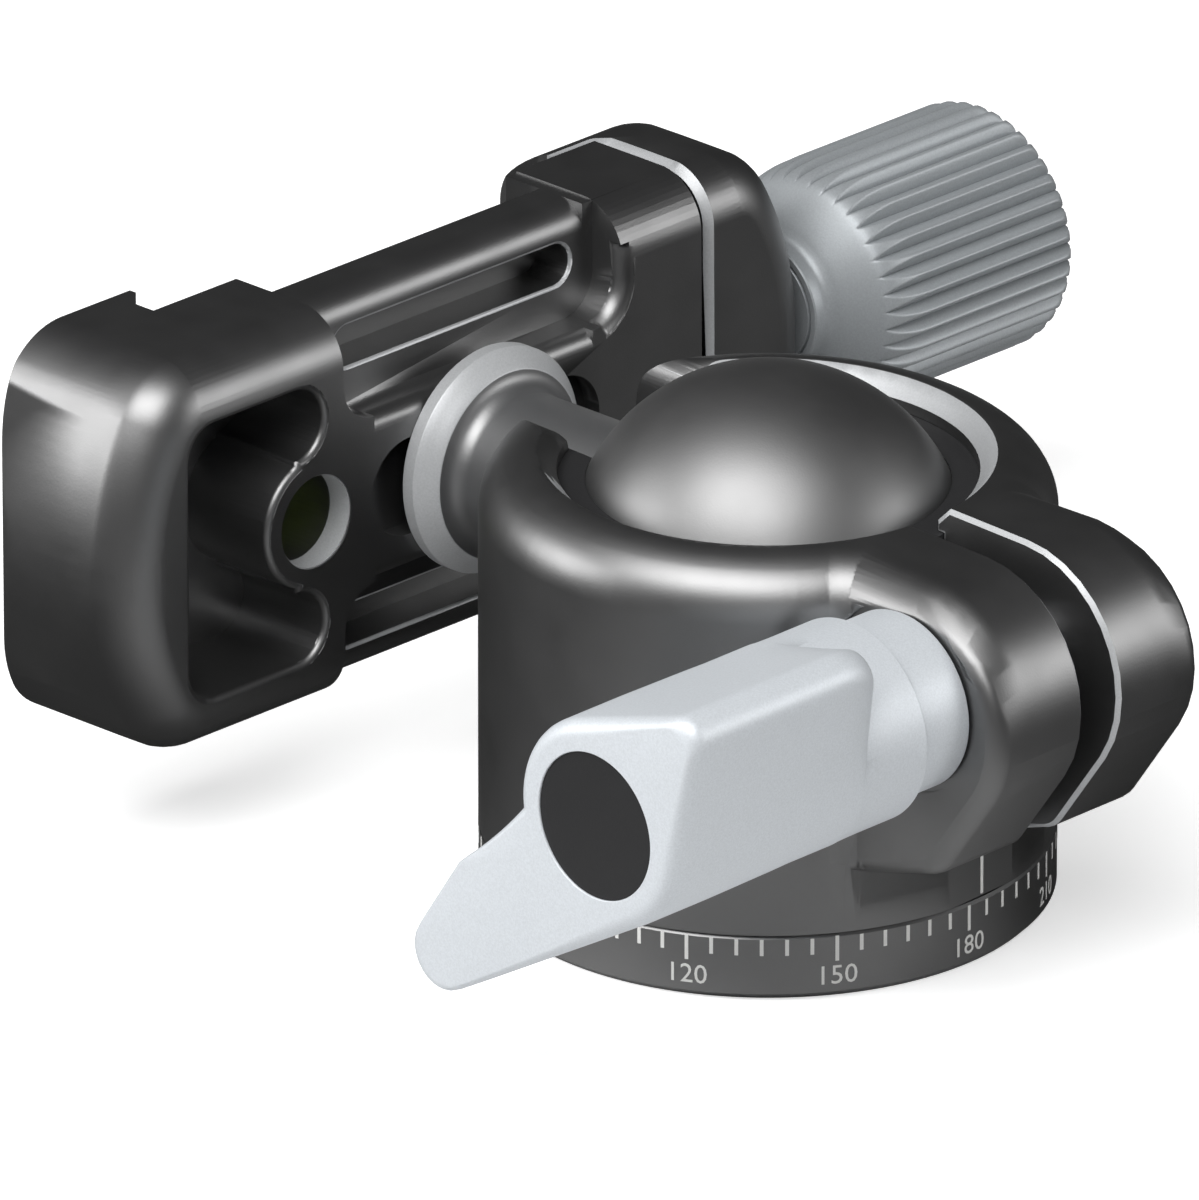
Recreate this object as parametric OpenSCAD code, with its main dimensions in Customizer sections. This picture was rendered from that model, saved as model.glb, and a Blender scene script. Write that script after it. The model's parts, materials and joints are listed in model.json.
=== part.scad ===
// Camera ball head with a drop notch, a lever lock, a panning base with a degree
// scale and a dovetail clamp that is closed by a knob.
// The origin is on the pan axis, in the face that sits on the tripod, and +Z is up.
// The neck lies in its notch towards -X, the split lug is on +X, and the lever and
// the clamp knob turn on axes along Y.

/* [Pan base] */
// Radius of the scale ring and of the housing
base_r = 20; // [19:0.5:22]
// Height of the scale ring
ring_h = 4.8; // [4.4:0.1:6]
// Chamfer round the foot of the scale ring
ring_foot = 0.5; // [0.2:0.1:0.8]
// Chamfer round the top edge of the scale ring
ring_edge = 0.2; // [0.1:0.05:0.4]
// Radius of the spindle's flange
flange_r = 13.8; // [13:0.1:14.5]
// Thickness of the spindle's flange
flange_h = 2.4; // [2:0.1:3]
// Radius of the spindle's post
post_r = 8; // [7.6:0.1:8.4]
// Height of the top of the post
post_top = 9.2; // [8.8:0.1:9.6]
// Core radius of the 3/8 inch tripod thread
tripod_thread_r = 3.97; // [3.2:0.01:4.2]
// Outer radius of the threaded bush
bush_r = 5.6; // [5.2:0.1:6]
// Radius of the circle that the base screws stand on
base_screw_circle_r = 11; // [10.5:0.1:11.3]
// Inner radius of the friction pad
pad_in_r = 14.8; // [14.6:0.1:15.5]
// Outer radius of the friction pad
pad_out_r = 17.6; // [16.5:0.1:18.5]
// Thickness of the friction pad
pad_h = 0.8; // [0.6:0.1:1.2]

/* [Housing] */
// Height of the rim of the housing
rim_top = 32.4; // [31.8:0.1:33]
// Radius of the soft rounding round the rim
rim_round = 4.2; // [3:0.1:4.6]
// Radius of the mouth above the liner
mouth_r = 14.6; // [14.4:0.1:14.8]
// Depth of the bright chamfer round the mouth
mouth_chamfer = 1.2; // [0.8:0.1:1.3]
// Height of the lip that holds the liner down
lip_h = 0.8; // [0.6:0.1:1]
// Radius of the bore that holds cup and liner
bore_r = 15.2; // [15.1:0.1:15.6]
// Thickness of the housing's floor
floor_h = 2.5; // [2.2:0.1:2.8]
// Half the width of the drop notch
notch_half_w = 6.2; // [6.1:0.1:6.8]
// Radius of the rounding of the notch at the rim
notch_round = 2.6; // [1.5:0.1:3.2]
// Direction of the index flat, in degrees from +X
index_angle = 2.9; // [0:0.1:5]
// Depth of the index flat
index_depth = 0.25; // [0.15:0.05:0.4]

/* [Lug] */
// Half the width of the lug
lug_half_w = 10; // [9:0.1:10.5]
// Distance of the lug's round end from the pan axis
lug_end_x = 23.1; // [22.5:0.1:24]
// Height of the centre of the lug's round end
lug_end_z = 23.4; // [23:0.1:24]
// Radius of the lug's round end
lug_end_r = 9; // [8.5:0.1:9.4]
// Rounding of the lug's side edges
lug_edge = 1.3; // [0.8:0.1:1.6]
// Radius of the hollow between wall and lug
lug_blend_r = 3; // [2:0.1:4]
// Width of the slot that splits the lug
slot_w = 3.4; // [2.6:0.1:3.6]
// Height at which the slot ends
slot_bottom = 10.6; // [10.2:0.1:11.4]

/* [Ball] */
// Radius of the ball
ball_r = 14; // [13.9:0.01:14.1]
// Height of the ball's centre
ball_z = 24.2; // [24:0.1:24.4]
// Height of the underside of the cup
cup_bottom = 9.9; // [9.7:0.1:10.2]
// Height of the top of the cup
cup_top = 17.3; // [16.5:0.1:17.4]
// Height of the underside of the liner
liner_bottom = 17.6; // [17.5:0.1:17.9]

/* [Lever] */
// Distance of the lever's axis from the pan axis
lever_x = 23; // [22.6:0.1:23.6]
// Height of the lever's axis
lever_z = 24.4; // [24:0.1:24.8]
// Radius of the clamping stud
stud_r = 3; // [2.4:0.1:3.2]
// Radius of the pale collar beside the lug
collar_r = 6.4; // [5:0.1:6.8]
// Length of the collar
collar_l = 4.9; // [3:0.1:6]
// Radius of the handle's hub beside the collar
hub_r = 7.3; // [7:0.1:7.6]
// Length of the handle
handle_l = 25; // [22:0.5:28]
// Reach of the thumb blade, from the axis to the centre of its tip
blade_reach = 21.2; // [18:0.1:23]
// Radius of the blade's tip
blade_tip_r = 2.7; // [2.2:0.1:3.2]
// Thickness of the thumb blade
blade_t = 4.6; // [4:0.1:6]
// Direction of the blade seen from the handle's end, in degrees from +X
blade_angle = 224; // [215:1:235]
// Reach of the squared corner from the axis
corner_reach = 13.4; // [11:0.1:14]
// Direction of the squared corner, in degrees from +X
corner_angle = 48; // [40:1:55]
// Radius of the black cap
cap_r = 5.3; // [4.8:0.1:5.6]

/* [Neck] */
// Angle by which the neck lies below the horizontal, at rest in its notch
neck_droop = 1.4; // [0:0.1:1.6]
// Turn of the clamp about the neck, as shown
neck_roll = -1.1; // [-3:0.05:3]
// Turn of the neck towards -Y in its notch
neck_yaw = 0.65; // [0:0.05:0.8]
// Radius of the neck
neck_r = 5.5; // [5.2:0.05:5.6]
// Radius of the neck's foot, where its hollow rounding meets the flange
neck_top_r = 6.9; // [6.2:0.1:7.1]
// Radius of the flange
flange_ring_r = 8.2; // [7.8:0.1:8.6]
// Width of the flange's cylindrical edge
flange_ring_h = 1; // [0.8:0.1:1.4]

/* [Clamp body] */
// Distance of the clamp's underside from the ball's centre
clamp_l = 27.3; // [27:0.1:29]
// Height of the clamp, from its underside to the top of the jaws
clamp_h = 14.2; // [14:0.1:15]
// Half the width of the clamp
clamp_half_w = 14.4; // [14:0.1:15]
// Rounding of the long edges of the underside
clamp_round = 4; // [3:0.1:4.5]
// Place of the fixed end, along Y
fixed_end_y = -35.4; // [-36.5:0.1:-34.8]
// Place of the inner end of the fixed block
fixed_block_y = -13.9; // [-14.2:0.1:-13.6]
// Place of the inner face of the block under the moving jaw
near_block_y = 13.7; // [13.4:0.1:14]
// Place of the face of the clamp body that meets the moving jaw
body_end_y = 21.5; // [21.2:0.1:21.8]
// Place of the outer face of the moving jaw
jaw_end_y = 33.2; // [32:0.1:33.5]
// Width that the dovetail of a closed plate has at its foot
plate_w = 39.1; // [38.5:0.1:39.3]
// Height of the faces that carry the plate, above the underside
seat_h = 10.4; // [10.2:0.1:10.6]
// Height of the relieved floor between them
relief_h = 7.1; // [6.8:0.1:7.4]
// Depth of the dovetail's slanted face
dovetail = 1.5; // [1.2:0.1:1.8]
// Gap between the moving jaw and the clamp body as shown
jaw_gap = 0.7; // [0.7:0.05:1]
// Bulge of the clamp's end faces
end_bulge = 2.5; // [1.6:0.1:3]
// Rounding of the corners of the end faces
end_round = 4; // [3:0.1:4.4]
// Half the width of the spine under the middle of the clamp
spine_half_w = 6.2; // [5.8:0.1:6.4]
// Depth of the recess on each side of the spine
recess_h = 3; // [2.5:0.1:3.5]
// Width of the long slots beside the spine
side_slot_w = 3.1; // [2.6:0.1:3.4]
// Depth of those slots below the recess
side_slot_depth = 3.2; // [2.5:0.1:3.4]
// Radius of the hole for the level
level_hole_r = 3.43; // [3.3:0.01:3.5]

/* [Clamp knob] */
// Height of the screw's axis above the clamp's underside
screw_h = 5.2; // [4.8:0.1:5.4]
// Radius of the clamp screw
screw_r = 2.5; // [2:0.1:2.6]
// Radius over the knob's ribs
knob_r = 9; // [8:0.1:9.5]
// Depth of the grooves round the knob
flute_depth = 0.6; // [0.3:0.05:0.8]
// Number of grooves round the knob
flute_count = 40; // [32:1:48]
// Length of the knob
knob_l = 22.1; // [18:0.1:24]
// Radius of the guide pins
guide_pin_r = 1.5; // [1.2:0.1:1.6]
// Distance of each guide pin from the screw
guide_pin_x = 9; // [8.5:0.1:9.5]

/* [Hidden] */

$fn = 96;
hull_fn = 32;
fine_fn = 20;

// Clearances and the overrun that every cut uses
run_fit = 0.05;
seat_fit = 0.02;
face_gap = 0.05;
cut = 1;
sliver = 0.01;

// Pan base
pan_gap = 0.1;
clip_groove_z = 7.75;
clip_h = 0.7;
clip_groove_depth = 0.7;
clip_out_r = 9.3;
clip_open_angle = 50;
shim_h = 0.25;
post_chamfer = 0.3;
bush_top = post_top - post_chamfer;
bush_lead = 0.4;
base_screw_count = 3;
base_screw_r = 1.25;
base_screw_head_r = 2.2;
base_screw_head_h = 1.1;
base_screw_top = ring_h - pad_h;
socket_r = 0.85;
socket_depth = 0.7;

// Housing
house_bottom = ring_h + pan_gap;
floor_top = house_bottom + floor_h;
rim_crest_r = base_r - rim_round;
rim_round_z = rim_top - rim_round;
lip_top = rim_top - mouth_chamfer;
lip_bottom = lip_top - lip_h;
post_hole_r = post_r + run_fit;
liner_top = lip_bottom - face_gap;
liner_out_r = bore_r - run_fit;
seat_r = ball_r + run_fit;
cup_in_r = 10;
spring_t = 0.65;
spring_in_r = 10.4;
spring_out_r = 14.4;
liner_slit_w = 1.6;
liner_notch_gap = 0.1;
notch_reach_x = 6;
index_half_w = sqrt(pow(base_r, 2) - pow(base_r - index_depth, 2));
index_top = 8.7;

// Lug: its round end has a wide rounding above and a narrow one round the nose, and
// the slanted foot of its side view runs from the low corner to the wall
lug_top_edge = 3;
lug_nose_r = 8.2;
lug_nose_angle = -20;
lug_nose_x = lug_end_x + (lug_end_r - lug_nose_r) * cos(lug_nose_angle);
lug_nose_z = lug_end_z + (lug_end_r - lug_nose_r) * sin(lug_nose_angle);
lug_corner_x = 24.2;
lug_corner_z = 14;
lug_corner_r = 2.7;
lug_wall_x = 16;
lug_wall_z = 11.6;
lug_top_x1 = 12;
lug_top_x2 = 22;
blend_dist = base_r + lug_blend_r;
blend_y = lug_half_w + lug_blend_r;
blend_x = sqrt(pow(blend_dist, 2) - pow(blend_y, 2));
blend_angle = atan2(blend_y, blend_x);
blend_bottom = 10.2;
blend_depth = 10;
blend_bite = 0.03;
nut_r = 4.4;
nut_inner_y = 4;
nut_recess = 0.6;
nut_slot_w = 1.2;
nut_slot_depth = 0.8;
spot_gap = 0.4;
spot_depth = 0.1;

// Lever, measured along its own axis from the middle of the slot
collar_start = lug_half_w + face_gap;
hub_start = collar_start + collar_l;
handle_end = hub_start + handle_l;
prism_start = hub_start + handle_l / 5;
prism_shoulder = hub_start + handle_l * 9 / 25;
corner_r = 1.8;
shoulder_reach_share = 0.8;
end_hub_r = 7.5;
face_round = 0.9;
face_steps = 3;
blade_edge = 1.2;
scoop_r = 38;
scoop_depth = 1;
stud_head_r = 4.2;
stud_head_l = 6;
stud_spline_count = 18;
stud_spline_depth = 0.35;
lever_screw_r = 1.5;
lever_screw_head_r = 3;
lever_screw_head_l = 3;
lever_web = 3;
lever_pocket_r = 4;
cap_t = 1.1;
cap_plug_l = 2.5;
cap_rim = 0.15;
lever_socket_r = 1.4;
lever_socket_depth = 1.6;

// Neck, measured from the ball's centre
neck_seat_l = sqrt(pow(ball_r, 2) - pow(neck_r + run_fit, 2));
spigot_r = 3.5;
spigot_l = 5;
neck_flange_l = clamp_l - flange_ring_h;
neck_top_l = neck_flange_l - (flange_ring_r - neck_top_r);
neck_fillet = neck_top_r - neck_r;
bolt_r = 2.5;
bolt_end_l = 18;
bolt_head_r = 5;
bolt_head_h = 2.6;
bolt_sink = 0.4;
bolt_socket_r = 2.3;
bolt_socket_depth = 2;

// Clamp, measured from the ball's centre along the neck
clamp_top_l = clamp_l + clamp_h;
seat_l = clamp_l + seat_h;
relief_l = clamp_l + relief_h;
recess_l = clamp_l + recess_h;
fixed_foot_y = -22;
moving_foot_y = fixed_foot_y + plate_w + jaw_gap / 2;
lip_land = 0.6;
end_corner_r = 6;
relief_end_y = 12.7;
rail_inset = 0.1;
rail_round = 2;
spine_round = 1.2;
recess_round = 3;
side_slot_x = 10.45;
side_slot_y1 = -12;
side_slot_y2 = 11.5;
pocket_end_y = -28.9;
pocket_half_w = 10.2;
pocket_depth = 8;
pocket_lobe_y = -15.8;
pocket_corner_r = 2.5;
level_y = -16.65;
level_boss_r = 4.9;
bezel_t = 0.6;
level_h = 4;
key_half_w = 3.6;
key_y1 = -11.2;
key_y2 = 11.3;
key_depth = 1.6;
jaw_slide_gap = 0.1;
pin_l = screw_h + 2;
pin_reach = 6.6;
pin_hole_depth = 7.9;
screw_reach = 7.4;
screw_hole_depth = 8.4;
pin_end_y = body_end_y - pin_reach;
pin_hole_y = body_end_y - pin_hole_depth;
screw_end_y = body_end_y - screw_reach;
screw_hole_y = body_end_y - screw_hole_depth;
jaw_face_y = body_end_y + jaw_gap;
clip_pocket_r = 4.4;
clip_pocket_h = 1.4;
screw_clip_r = 4.1;
screw_clip_t = 0.8;
screw_neck_r = 1.9;
pin_seat_depth = 6;

// Knob, measured along Y
knob_start_y = jaw_end_y + face_gap;
knob_end_y = knob_start_y + knob_l;
knob_hub_r = 4.9;
knob_hub_l = 0.8;
knob_cone_l = 2.6;
knob_cone_r = 7.6;
knob_front_l = 1.1;
knob_back = 1;
flute_land = 0.1;
knob_screw_l = 14;

// Colours
BLACK = "#232426";
SILVER = "#b9c0c6";
GREY = "#8f9496";
STEEL = "#a8a9ab";
PLASTIC = "#d8d6cc";

// The neck's frame: local z runs along the neck and local x points up
module on_neck() {
  translate([0, 0, ball_z]) rotate([neck_roll, -neck_droop, neck_yaw]) rotate([0, -90, 0]) children();
}

// The lever's frame: local z runs out along the lever, to -Y
module on_lever() {
  translate([lever_x, 0, lever_z]) rotate([90, 0, 0]) children();
}

// The frame of the clamp screw: local z runs along +Y from the pan axis's plane
module on_screw() {
  on_neck() translate([0, 0, clamp_l + screw_h]) rotate([-90, 0, 0]) children();
}

// A disc with rounded rims, as a pair of rings for a hull
module rim_pair(r, half, edge) {
  for (side = [-1, 1])
    translate([0, 0, side * (half - edge)])
      rotate_extrude($fn = hull_fn) translate([r - edge, 0]) circle(edge, $fn = fine_fn);
}

// Screws
module base_screw_places() {
  for (i = [0 : base_screw_count - 1])
    rotate([0, 0, (i + 0.5) * 360 / base_screw_count]) translate([base_screw_circle_r, 0, 0]) children();
}

// Pan base
module scale_ring() {
  color(BLACK) difference() {
    rotate_extrude() polygon([
      [0, 0], [base_r - ring_foot, 0], [base_r, ring_foot], [base_r, ring_h - ring_edge],
      [base_r - ring_edge, ring_h], [0, ring_h]
    ]);
    translate([0, 0, -cut]) cylinder(r = flange_r + seat_fit, h = flange_h + cut);
    translate([0, 0, -cut]) cylinder(r = post_r + seat_fit, h = ring_h + 2 * cut);
    translate([0, 0, ring_h - pad_h + pan_gap]) difference() {
      cylinder(r = pad_out_r + seat_fit, h = pad_h);
      translate([0, 0, -cut]) cylinder(r = pad_in_r - seat_fit, h = pad_h + 2 * cut);
    }
    base_screw_places() cylinder(r = base_screw_r + seat_fit, h = base_screw_top);
  }
}

module pan_spindle() {
  color(STEEL) difference() {
    rotate_extrude() polygon([
      [bush_r + seat_fit, 0], [flange_r, 0], [flange_r, flange_h], [post_r, flange_h],
      [post_r, clip_groove_z], [post_r - clip_groove_depth, clip_groove_z],
      [post_r - clip_groove_depth, clip_groove_z + clip_h + 2 * seat_fit],
      [post_r, clip_groove_z + clip_h + 2 * seat_fit], [post_r, post_top - post_chamfer],
      [post_r - post_chamfer, post_top], [bush_r + seat_fit, post_top]
    ]);
    base_screw_places() translate([0, 0, -cut]) cylinder(r = base_screw_r + seat_fit, h = flange_h + 2 * cut);
    base_screw_places() translate([0, 0, -sliver])
      cylinder(r1 = base_screw_head_r + seat_fit, r2 = base_screw_r + seat_fit, h = base_screw_head_h + sliver);
  }
}

module thread_bush() {
  color(STEEL) difference() {
    cylinder(r = bush_r, h = bush_top);
    translate([0, 0, -cut]) cylinder(r = tripod_thread_r, h = post_top + 2 * cut);
    translate([0, 0, -sliver])
      cylinder(r1 = tripod_thread_r + bush_lead + sliver, r2 = tripod_thread_r, h = bush_lead + sliver);
  }
}

module base_screws() {
  color(STEEL) base_screw_places() difference() {
    union() {
      translate([0, 0, sliver]) cylinder(r1 = base_screw_head_r, r2 = base_screw_r, h = base_screw_head_h);
      translate([0, 0, base_screw_head_h]) cylinder(r = base_screw_r, h = base_screw_top - base_screw_head_h - seat_fit);
    }
    translate([0, 0, -cut]) cylinder(r = socket_r, h = socket_depth + cut, $fn = 6);
  }
}

module friction_pad() {
  color(PLASTIC) translate([0, 0, house_bottom - pad_h]) difference() {
    cylinder(r = pad_out_r, h = pad_h);
    translate([0, 0, -cut]) cylinder(r = pad_in_r, h = pad_h + 2 * cut);
  }
}

module retaining_clip() {
  color(STEEL) translate([0, 0, clip_groove_z + seat_fit]) difference() {
    cylinder(r = clip_out_r, h = clip_h);
    translate([0, 0, -cut]) cylinder(r = post_r - clip_groove_depth + seat_fit, h = clip_h + 2 * cut);
    translate([0, 0, -cut]) linear_extrude(clip_h + 2 * cut) polygon([
      [0, 0], [2 * clip_out_r, -2 * clip_out_r * tan(clip_open_angle / 2)],
      [2 * clip_out_r, 2 * clip_out_r * tan(clip_open_angle / 2)]
    ]);
  }
}

// Half of the housing's section: a straight wall that turns over into the rim
module wall_section(wall_r, bottom, turn) {
  translate([turn > 0 ? 0 : wall_r, bottom])
    square([turn > 0 ? wall_r : blend_depth, rim_round_z - bottom]);
  translate([wall_r - turn * rim_round, rim_round_z]) circle(rim_round);
  translate([turn > 0 ? 0 : wall_r + rim_round, rim_round_z])
    square([turn > 0 ? wall_r - rim_round : blend_depth - rim_round, rim_round]);
}

// The hollow blend on one side of the lug, with the same soft rim
module lug_blend() {
  translate([blend_x, -blend_y, -blend_bite]) rotate([0, 0, 90])
    rotate_extrude(angle = 90 - blend_angle) wall_section(lug_blend_r + blend_bite, blend_bottom, -1);
}

// The lug: a rounded bar that meets the rim, a round end and a slanted foot
module lug_solid() {
  hull() {
    for (side = [-1, 1])
      translate([lug_top_x1, side * (lug_half_w - rim_round), rim_round_z])
        rotate([0, 90, 0]) cylinder(r = rim_round, h = lug_top_x2 - lug_top_x1, $fn = hull_fn);
    translate([lug_end_x, 0, lug_end_z]) rotate([90, 0, 0]) rim_pair(lug_end_r, lug_half_w, lug_top_edge);
    translate([lug_nose_x, 0, lug_nose_z]) rotate([90, 0, 0]) rim_pair(lug_nose_r, lug_half_w, lug_edge);
    translate([lug_corner_x, 0, lug_corner_z]) rotate([90, 0, 0]) rim_pair(lug_corner_r, lug_half_w, lug_edge);
    translate([lug_wall_x, 0, lug_wall_z]) rotate([90, 0, 0]) rim_pair(lug_corner_r, lug_half_w, lug_edge);
  }
}

// The U of the drop notch, grown by gap, and its rounded shoulders at the rim
module notch_cutter(gap, shoulders) {
  half = notch_half_w - gap;
  reach = base_r + cut - notch_reach_x;
  translate([-base_r - cut, 0, ball_z]) {
    rotate([0, 90, 0]) cylinder(r = half, h = reach);
    translate([0, -half, 0]) cube([reach, 2 * half, rim_top - ball_z + cut]);
  }
  if (shoulders)
    translate([-base_r - cut, 0, 0]) difference() {
      translate([0, -half - notch_round, rim_top - notch_round])
        cube([reach, 2 * (half + notch_round), notch_round + cut]);
      for (side = [-1, 1])
        translate([-cut, side * (half + notch_round), rim_top - notch_round])
          rotate([0, 90, 0]) cylinder(r = notch_round, h = reach + 2 * cut);
    }
}

module housing() {
  color(BLACK) difference() {
    union() {
      rotate_extrude() intersection() {
        wall_section(base_r, house_bottom, 1);
        square([base_r + cut, rim_top + cut]);
      }
      lug_solid();
      lug_blend();
      mirror([0, 1, 0]) lug_blend();
    }
    translate([0, 0, house_bottom - cut]) cylinder(r = post_hole_r, h = floor_h + 2 * cut);
    translate([0, 0, floor_top]) cylinder(r = bore_r, h = lip_bottom - floor_top);
    translate([0, 0, lip_bottom - sliver]) cylinder(r = mouth_r, h = rim_top - lip_bottom + cut);
    translate([0, 0, lip_top]) cylinder(r1 = mouth_r, r2 = mouth_r + mouth_chamfer + sliver, h = mouth_chamfer + sliver);
    notch_cutter(0, true);
    translate([ball_r / 2, -slot_w / 2, slot_bottom])
      cube([lug_end_x + lug_end_r + cut - ball_r / 2, slot_w, rim_top - slot_bottom + cut]);
    on_lever() translate([0, 0, -lug_half_w - cut]) cylinder(r = stud_r + run_fit, h = 2 * (lug_half_w + cut));
    on_lever() translate([0, 0, -lug_half_w - cut]) cylinder(r = nut_r + seat_fit, h = lug_half_w - nut_inner_y + cut);
    on_lever() translate([0, 0, lug_half_w - spot_depth]) cylinder(r = collar_r + spot_gap, h = collar_l);
    rotate([0, 0, index_angle]) translate([base_r - index_depth, -index_half_w, house_bottom - cut])
      cube([cut, 2 * index_half_w, index_top - house_bottom + cut]);
  }
}

module pan_shim() {
  color(STEEL) translate([0, 0, floor_top]) difference() {
    cylinder(r = clip_out_r, h = shim_h);
    translate([0, 0, -cut]) cylinder(r = post_hole_r, h = shim_h + 2 * cut);
  }
}

module lower_cup() {
  color(PLASTIC) difference() {
    translate([0, 0, cup_bottom]) cylinder(r = liner_out_r, h = cup_top - cup_bottom);
    translate([0, 0, cup_bottom - cut]) cylinder(r = cup_in_r, h = cup_top - cup_bottom + 2 * cut);
    translate([0, 0, ball_z]) sphere(r = seat_r);
  }
}

module cup_spring() {
  color(STEEL) rotate_extrude() polygon([
    [spring_in_r, cup_bottom - spring_t], [spring_in_r, cup_bottom],
    [spring_out_r, floor_top + spring_t], [spring_out_r, floor_top]
  ]);
}

module seat_liner() {
  color(PLASTIC) difference() {
    translate([0, 0, liner_bottom]) cylinder(r = liner_out_r, h = liner_top - liner_bottom);
    translate([0, 0, ball_z]) sphere(r = seat_r);
    notch_cutter(liner_notch_gap, false);
    translate([0, -liner_slit_w / 2, liner_bottom - cut])
      cube([bore_r + cut, liner_slit_w, liner_top - liner_bottom + 2 * cut]);
  }
}

module lug_nut() {
  color(STEEL) on_lever() translate([0, 0, -lug_half_w + nut_recess]) difference() {
    cylinder(r = nut_r, h = lug_half_w - nut_inner_y - nut_recess);
    translate([0, 0, -cut]) cylinder(r = stud_r + run_fit, h = lug_half_w + 2 * cut);
    translate([-nut_r - cut, -nut_slot_w / 2, -cut]) cube([2 * (nut_r + cut), nut_slot_w, nut_slot_depth + cut]);
  }
}

// Lever
module clamp_stud() {
  color(STEEL) on_lever() difference() {
    union() {
      translate([0, 0, -lug_half_w + nut_recess]) cylinder(r = stud_r, h = lug_half_w - nut_recess + hub_start);
      translate([0, 0, hub_start]) linear_extrude(stud_head_l) polygon([
        for (i = [0 : 2 * stud_spline_count - 1])
          let (a = i * 180 / stud_spline_count, r = stud_head_r - (i % 2) * stud_spline_depth)
            [r * cos(a), r * sin(a)]
      ]);
    }
    translate([0, 0, hub_start]) cylinder(r = lever_screw_r + seat_fit, h = stud_head_l + cut);
  }
}

module thrust_collar() {
  color(SILVER) on_lever() translate([0, 0, collar_start]) difference() {
    cylinder(r = collar_r, h = collar_l - seat_fit);
    translate([0, 0, -cut]) cylinder(r = stud_r + seat_fit, h = collar_l + 2 * cut);
  }
}

// One section of the handle, as a thin slab for a hull
module handle_slab(z, hub, reach, inset) {
  translate([0, 0, z]) {
    cylinder(r = hub - inset, h = sliver, $fn = 2 * hull_fn);
    rotate([0, 0, corner_angle]) translate([reach - corner_r, 0, 0])
      cylinder(r = corner_r - inset, h = sliver, $fn = hull_fn);
  }
}

// The prism of the handle, whose corner grows out of the round hub
module handle_prism() {
  hull() {
    translate([0, 0, prism_start]) cylinder(r = hub_r, h = sliver, $fn = 2 * hull_fn);
    handle_slab(prism_shoulder, hub_r, corner_reach * shoulder_reach_share, 0);
    for (i = [0 : face_steps])
      let (a = i * 90 / face_steps)
        handle_slab(handle_end - face_round * (1 - sin(a)) - sliver, end_hub_r, corner_reach, face_round * (1 - cos(a)));
  }
}

// The thumb blade, a flat tongue from the hub to its round tip
module handle_blade() {
  difference() {
    translate([0, 0, handle_end - blade_t / 2]) hull() {
      rim_pair(end_hub_r, blade_t / 2, blade_edge);
      rotate([0, 0, blade_angle]) translate([blade_reach, 0, 0]) rim_pair(blade_tip_r, blade_t / 2, blade_edge);
    }
    rotate([0, 0, blade_angle]) translate([blade_reach / 2, -scoop_r - (end_hub_r + blade_tip_r) / 2 + scoop_depth,
      handle_end - blade_t - cut])
      cylinder(r = scoop_r, h = blade_t + 2 * cut);
  }
}

module lever_handle() {
  screw_seat = hub_start + stud_head_l + lever_web;
  color(SILVER) on_lever() difference() {
    union() {
      translate([0, 0, hub_start]) cylinder(r = hub_r, h = prism_start - hub_start + sliver);
      handle_prism();
      handle_blade();
    }
    translate([0, 0, hub_start - cut]) cylinder(r = stud_head_r + seat_fit, h = stud_head_l + cut + seat_fit);
    translate([0, 0, hub_start]) cylinder(r = lever_screw_r + seat_fit, h = handle_l);
    translate([0, 0, screw_seat]) cylinder(r = lever_pocket_r, h = handle_l);
    translate([0, 0, handle_end - cap_t]) cylinder(r = cap_r + seat_fit, h = cap_t + cut);
  }
}

module lever_screw() {
  screw_seat = hub_start + stud_head_l + lever_web;
  color(STEEL) on_lever() difference() {
    union() {
      translate([0, 0, hub_start + seat_fit]) cylinder(r = lever_screw_r, h = stud_head_l + lever_web);
      translate([0, 0, screw_seat + seat_fit]) cylinder(r = lever_screw_head_r, h = lever_screw_head_l);
    }
    translate([0, 0, screw_seat + lever_screw_head_l - lever_socket_depth])
      cylinder(r = lever_socket_r, h = lever_socket_depth + cut, $fn = 6);
  }
}

module lever_cap() {
  color(BLACK) on_lever() {
    translate([0, 0, handle_end - cap_t + seat_fit]) cylinder(r = cap_r, h = cap_t - cap_rim);
    translate([0, 0, handle_end - cap_t - cap_plug_l]) cylinder(r = lever_pocket_r - seat_fit, h = cap_plug_l + cap_rim);
  }
}

// Ball and neck
module ball() {
  color(BLACK) on_neck() difference() {
    sphere(r = ball_r);
    translate([0, 0, neck_seat_l]) cylinder(r = ball_r, h = ball_r);
    translate([0, 0, spigot_l - face_gap]) cylinder(r = spigot_r + run_fit, h = ball_r);
  }
}

module stem() {
  color(GREY) on_neck() difference() {
    rotate_extrude() difference() {
      polygon([
        [0, spigot_l], [spigot_r, spigot_l], [spigot_r, neck_seat_l + face_gap],
        [neck_r, neck_seat_l + face_gap], [neck_r, neck_top_l - neck_fillet], [neck_top_r, neck_top_l - neck_fillet],
        [neck_top_r, neck_top_l], [flange_ring_r, neck_flange_l], [flange_ring_r, clamp_l], [0, clamp_l]
      ]);
      translate([neck_top_r, neck_top_l - neck_fillet]) circle(neck_fillet);
    }
    translate([0, 0, bolt_end_l - bolt_sink]) cylinder(r = bolt_r + seat_fit, h = clamp_l);
  }
}

// The clamp's cross-section, from its underside up, with rounded long edges
module clamp_section(half_w, bottom, top, round_r) {
  translate([-half_w, bottom + round_r]) square([2 * half_w, top - bottom - round_r]);
  translate([-half_w + round_r, bottom]) square([2 * (half_w - round_r), top - bottom]);
  for (side = [-1, 1])
    translate([side * (half_w - round_r), bottom + round_r]) circle(round_r);
}

// A bar along Y with the given section in x and z
module along_y(y1, y2) {
  translate([0, y2, 0]) rotate([90, 0, 0]) linear_extrude(y2 - y1) children();
}

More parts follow.
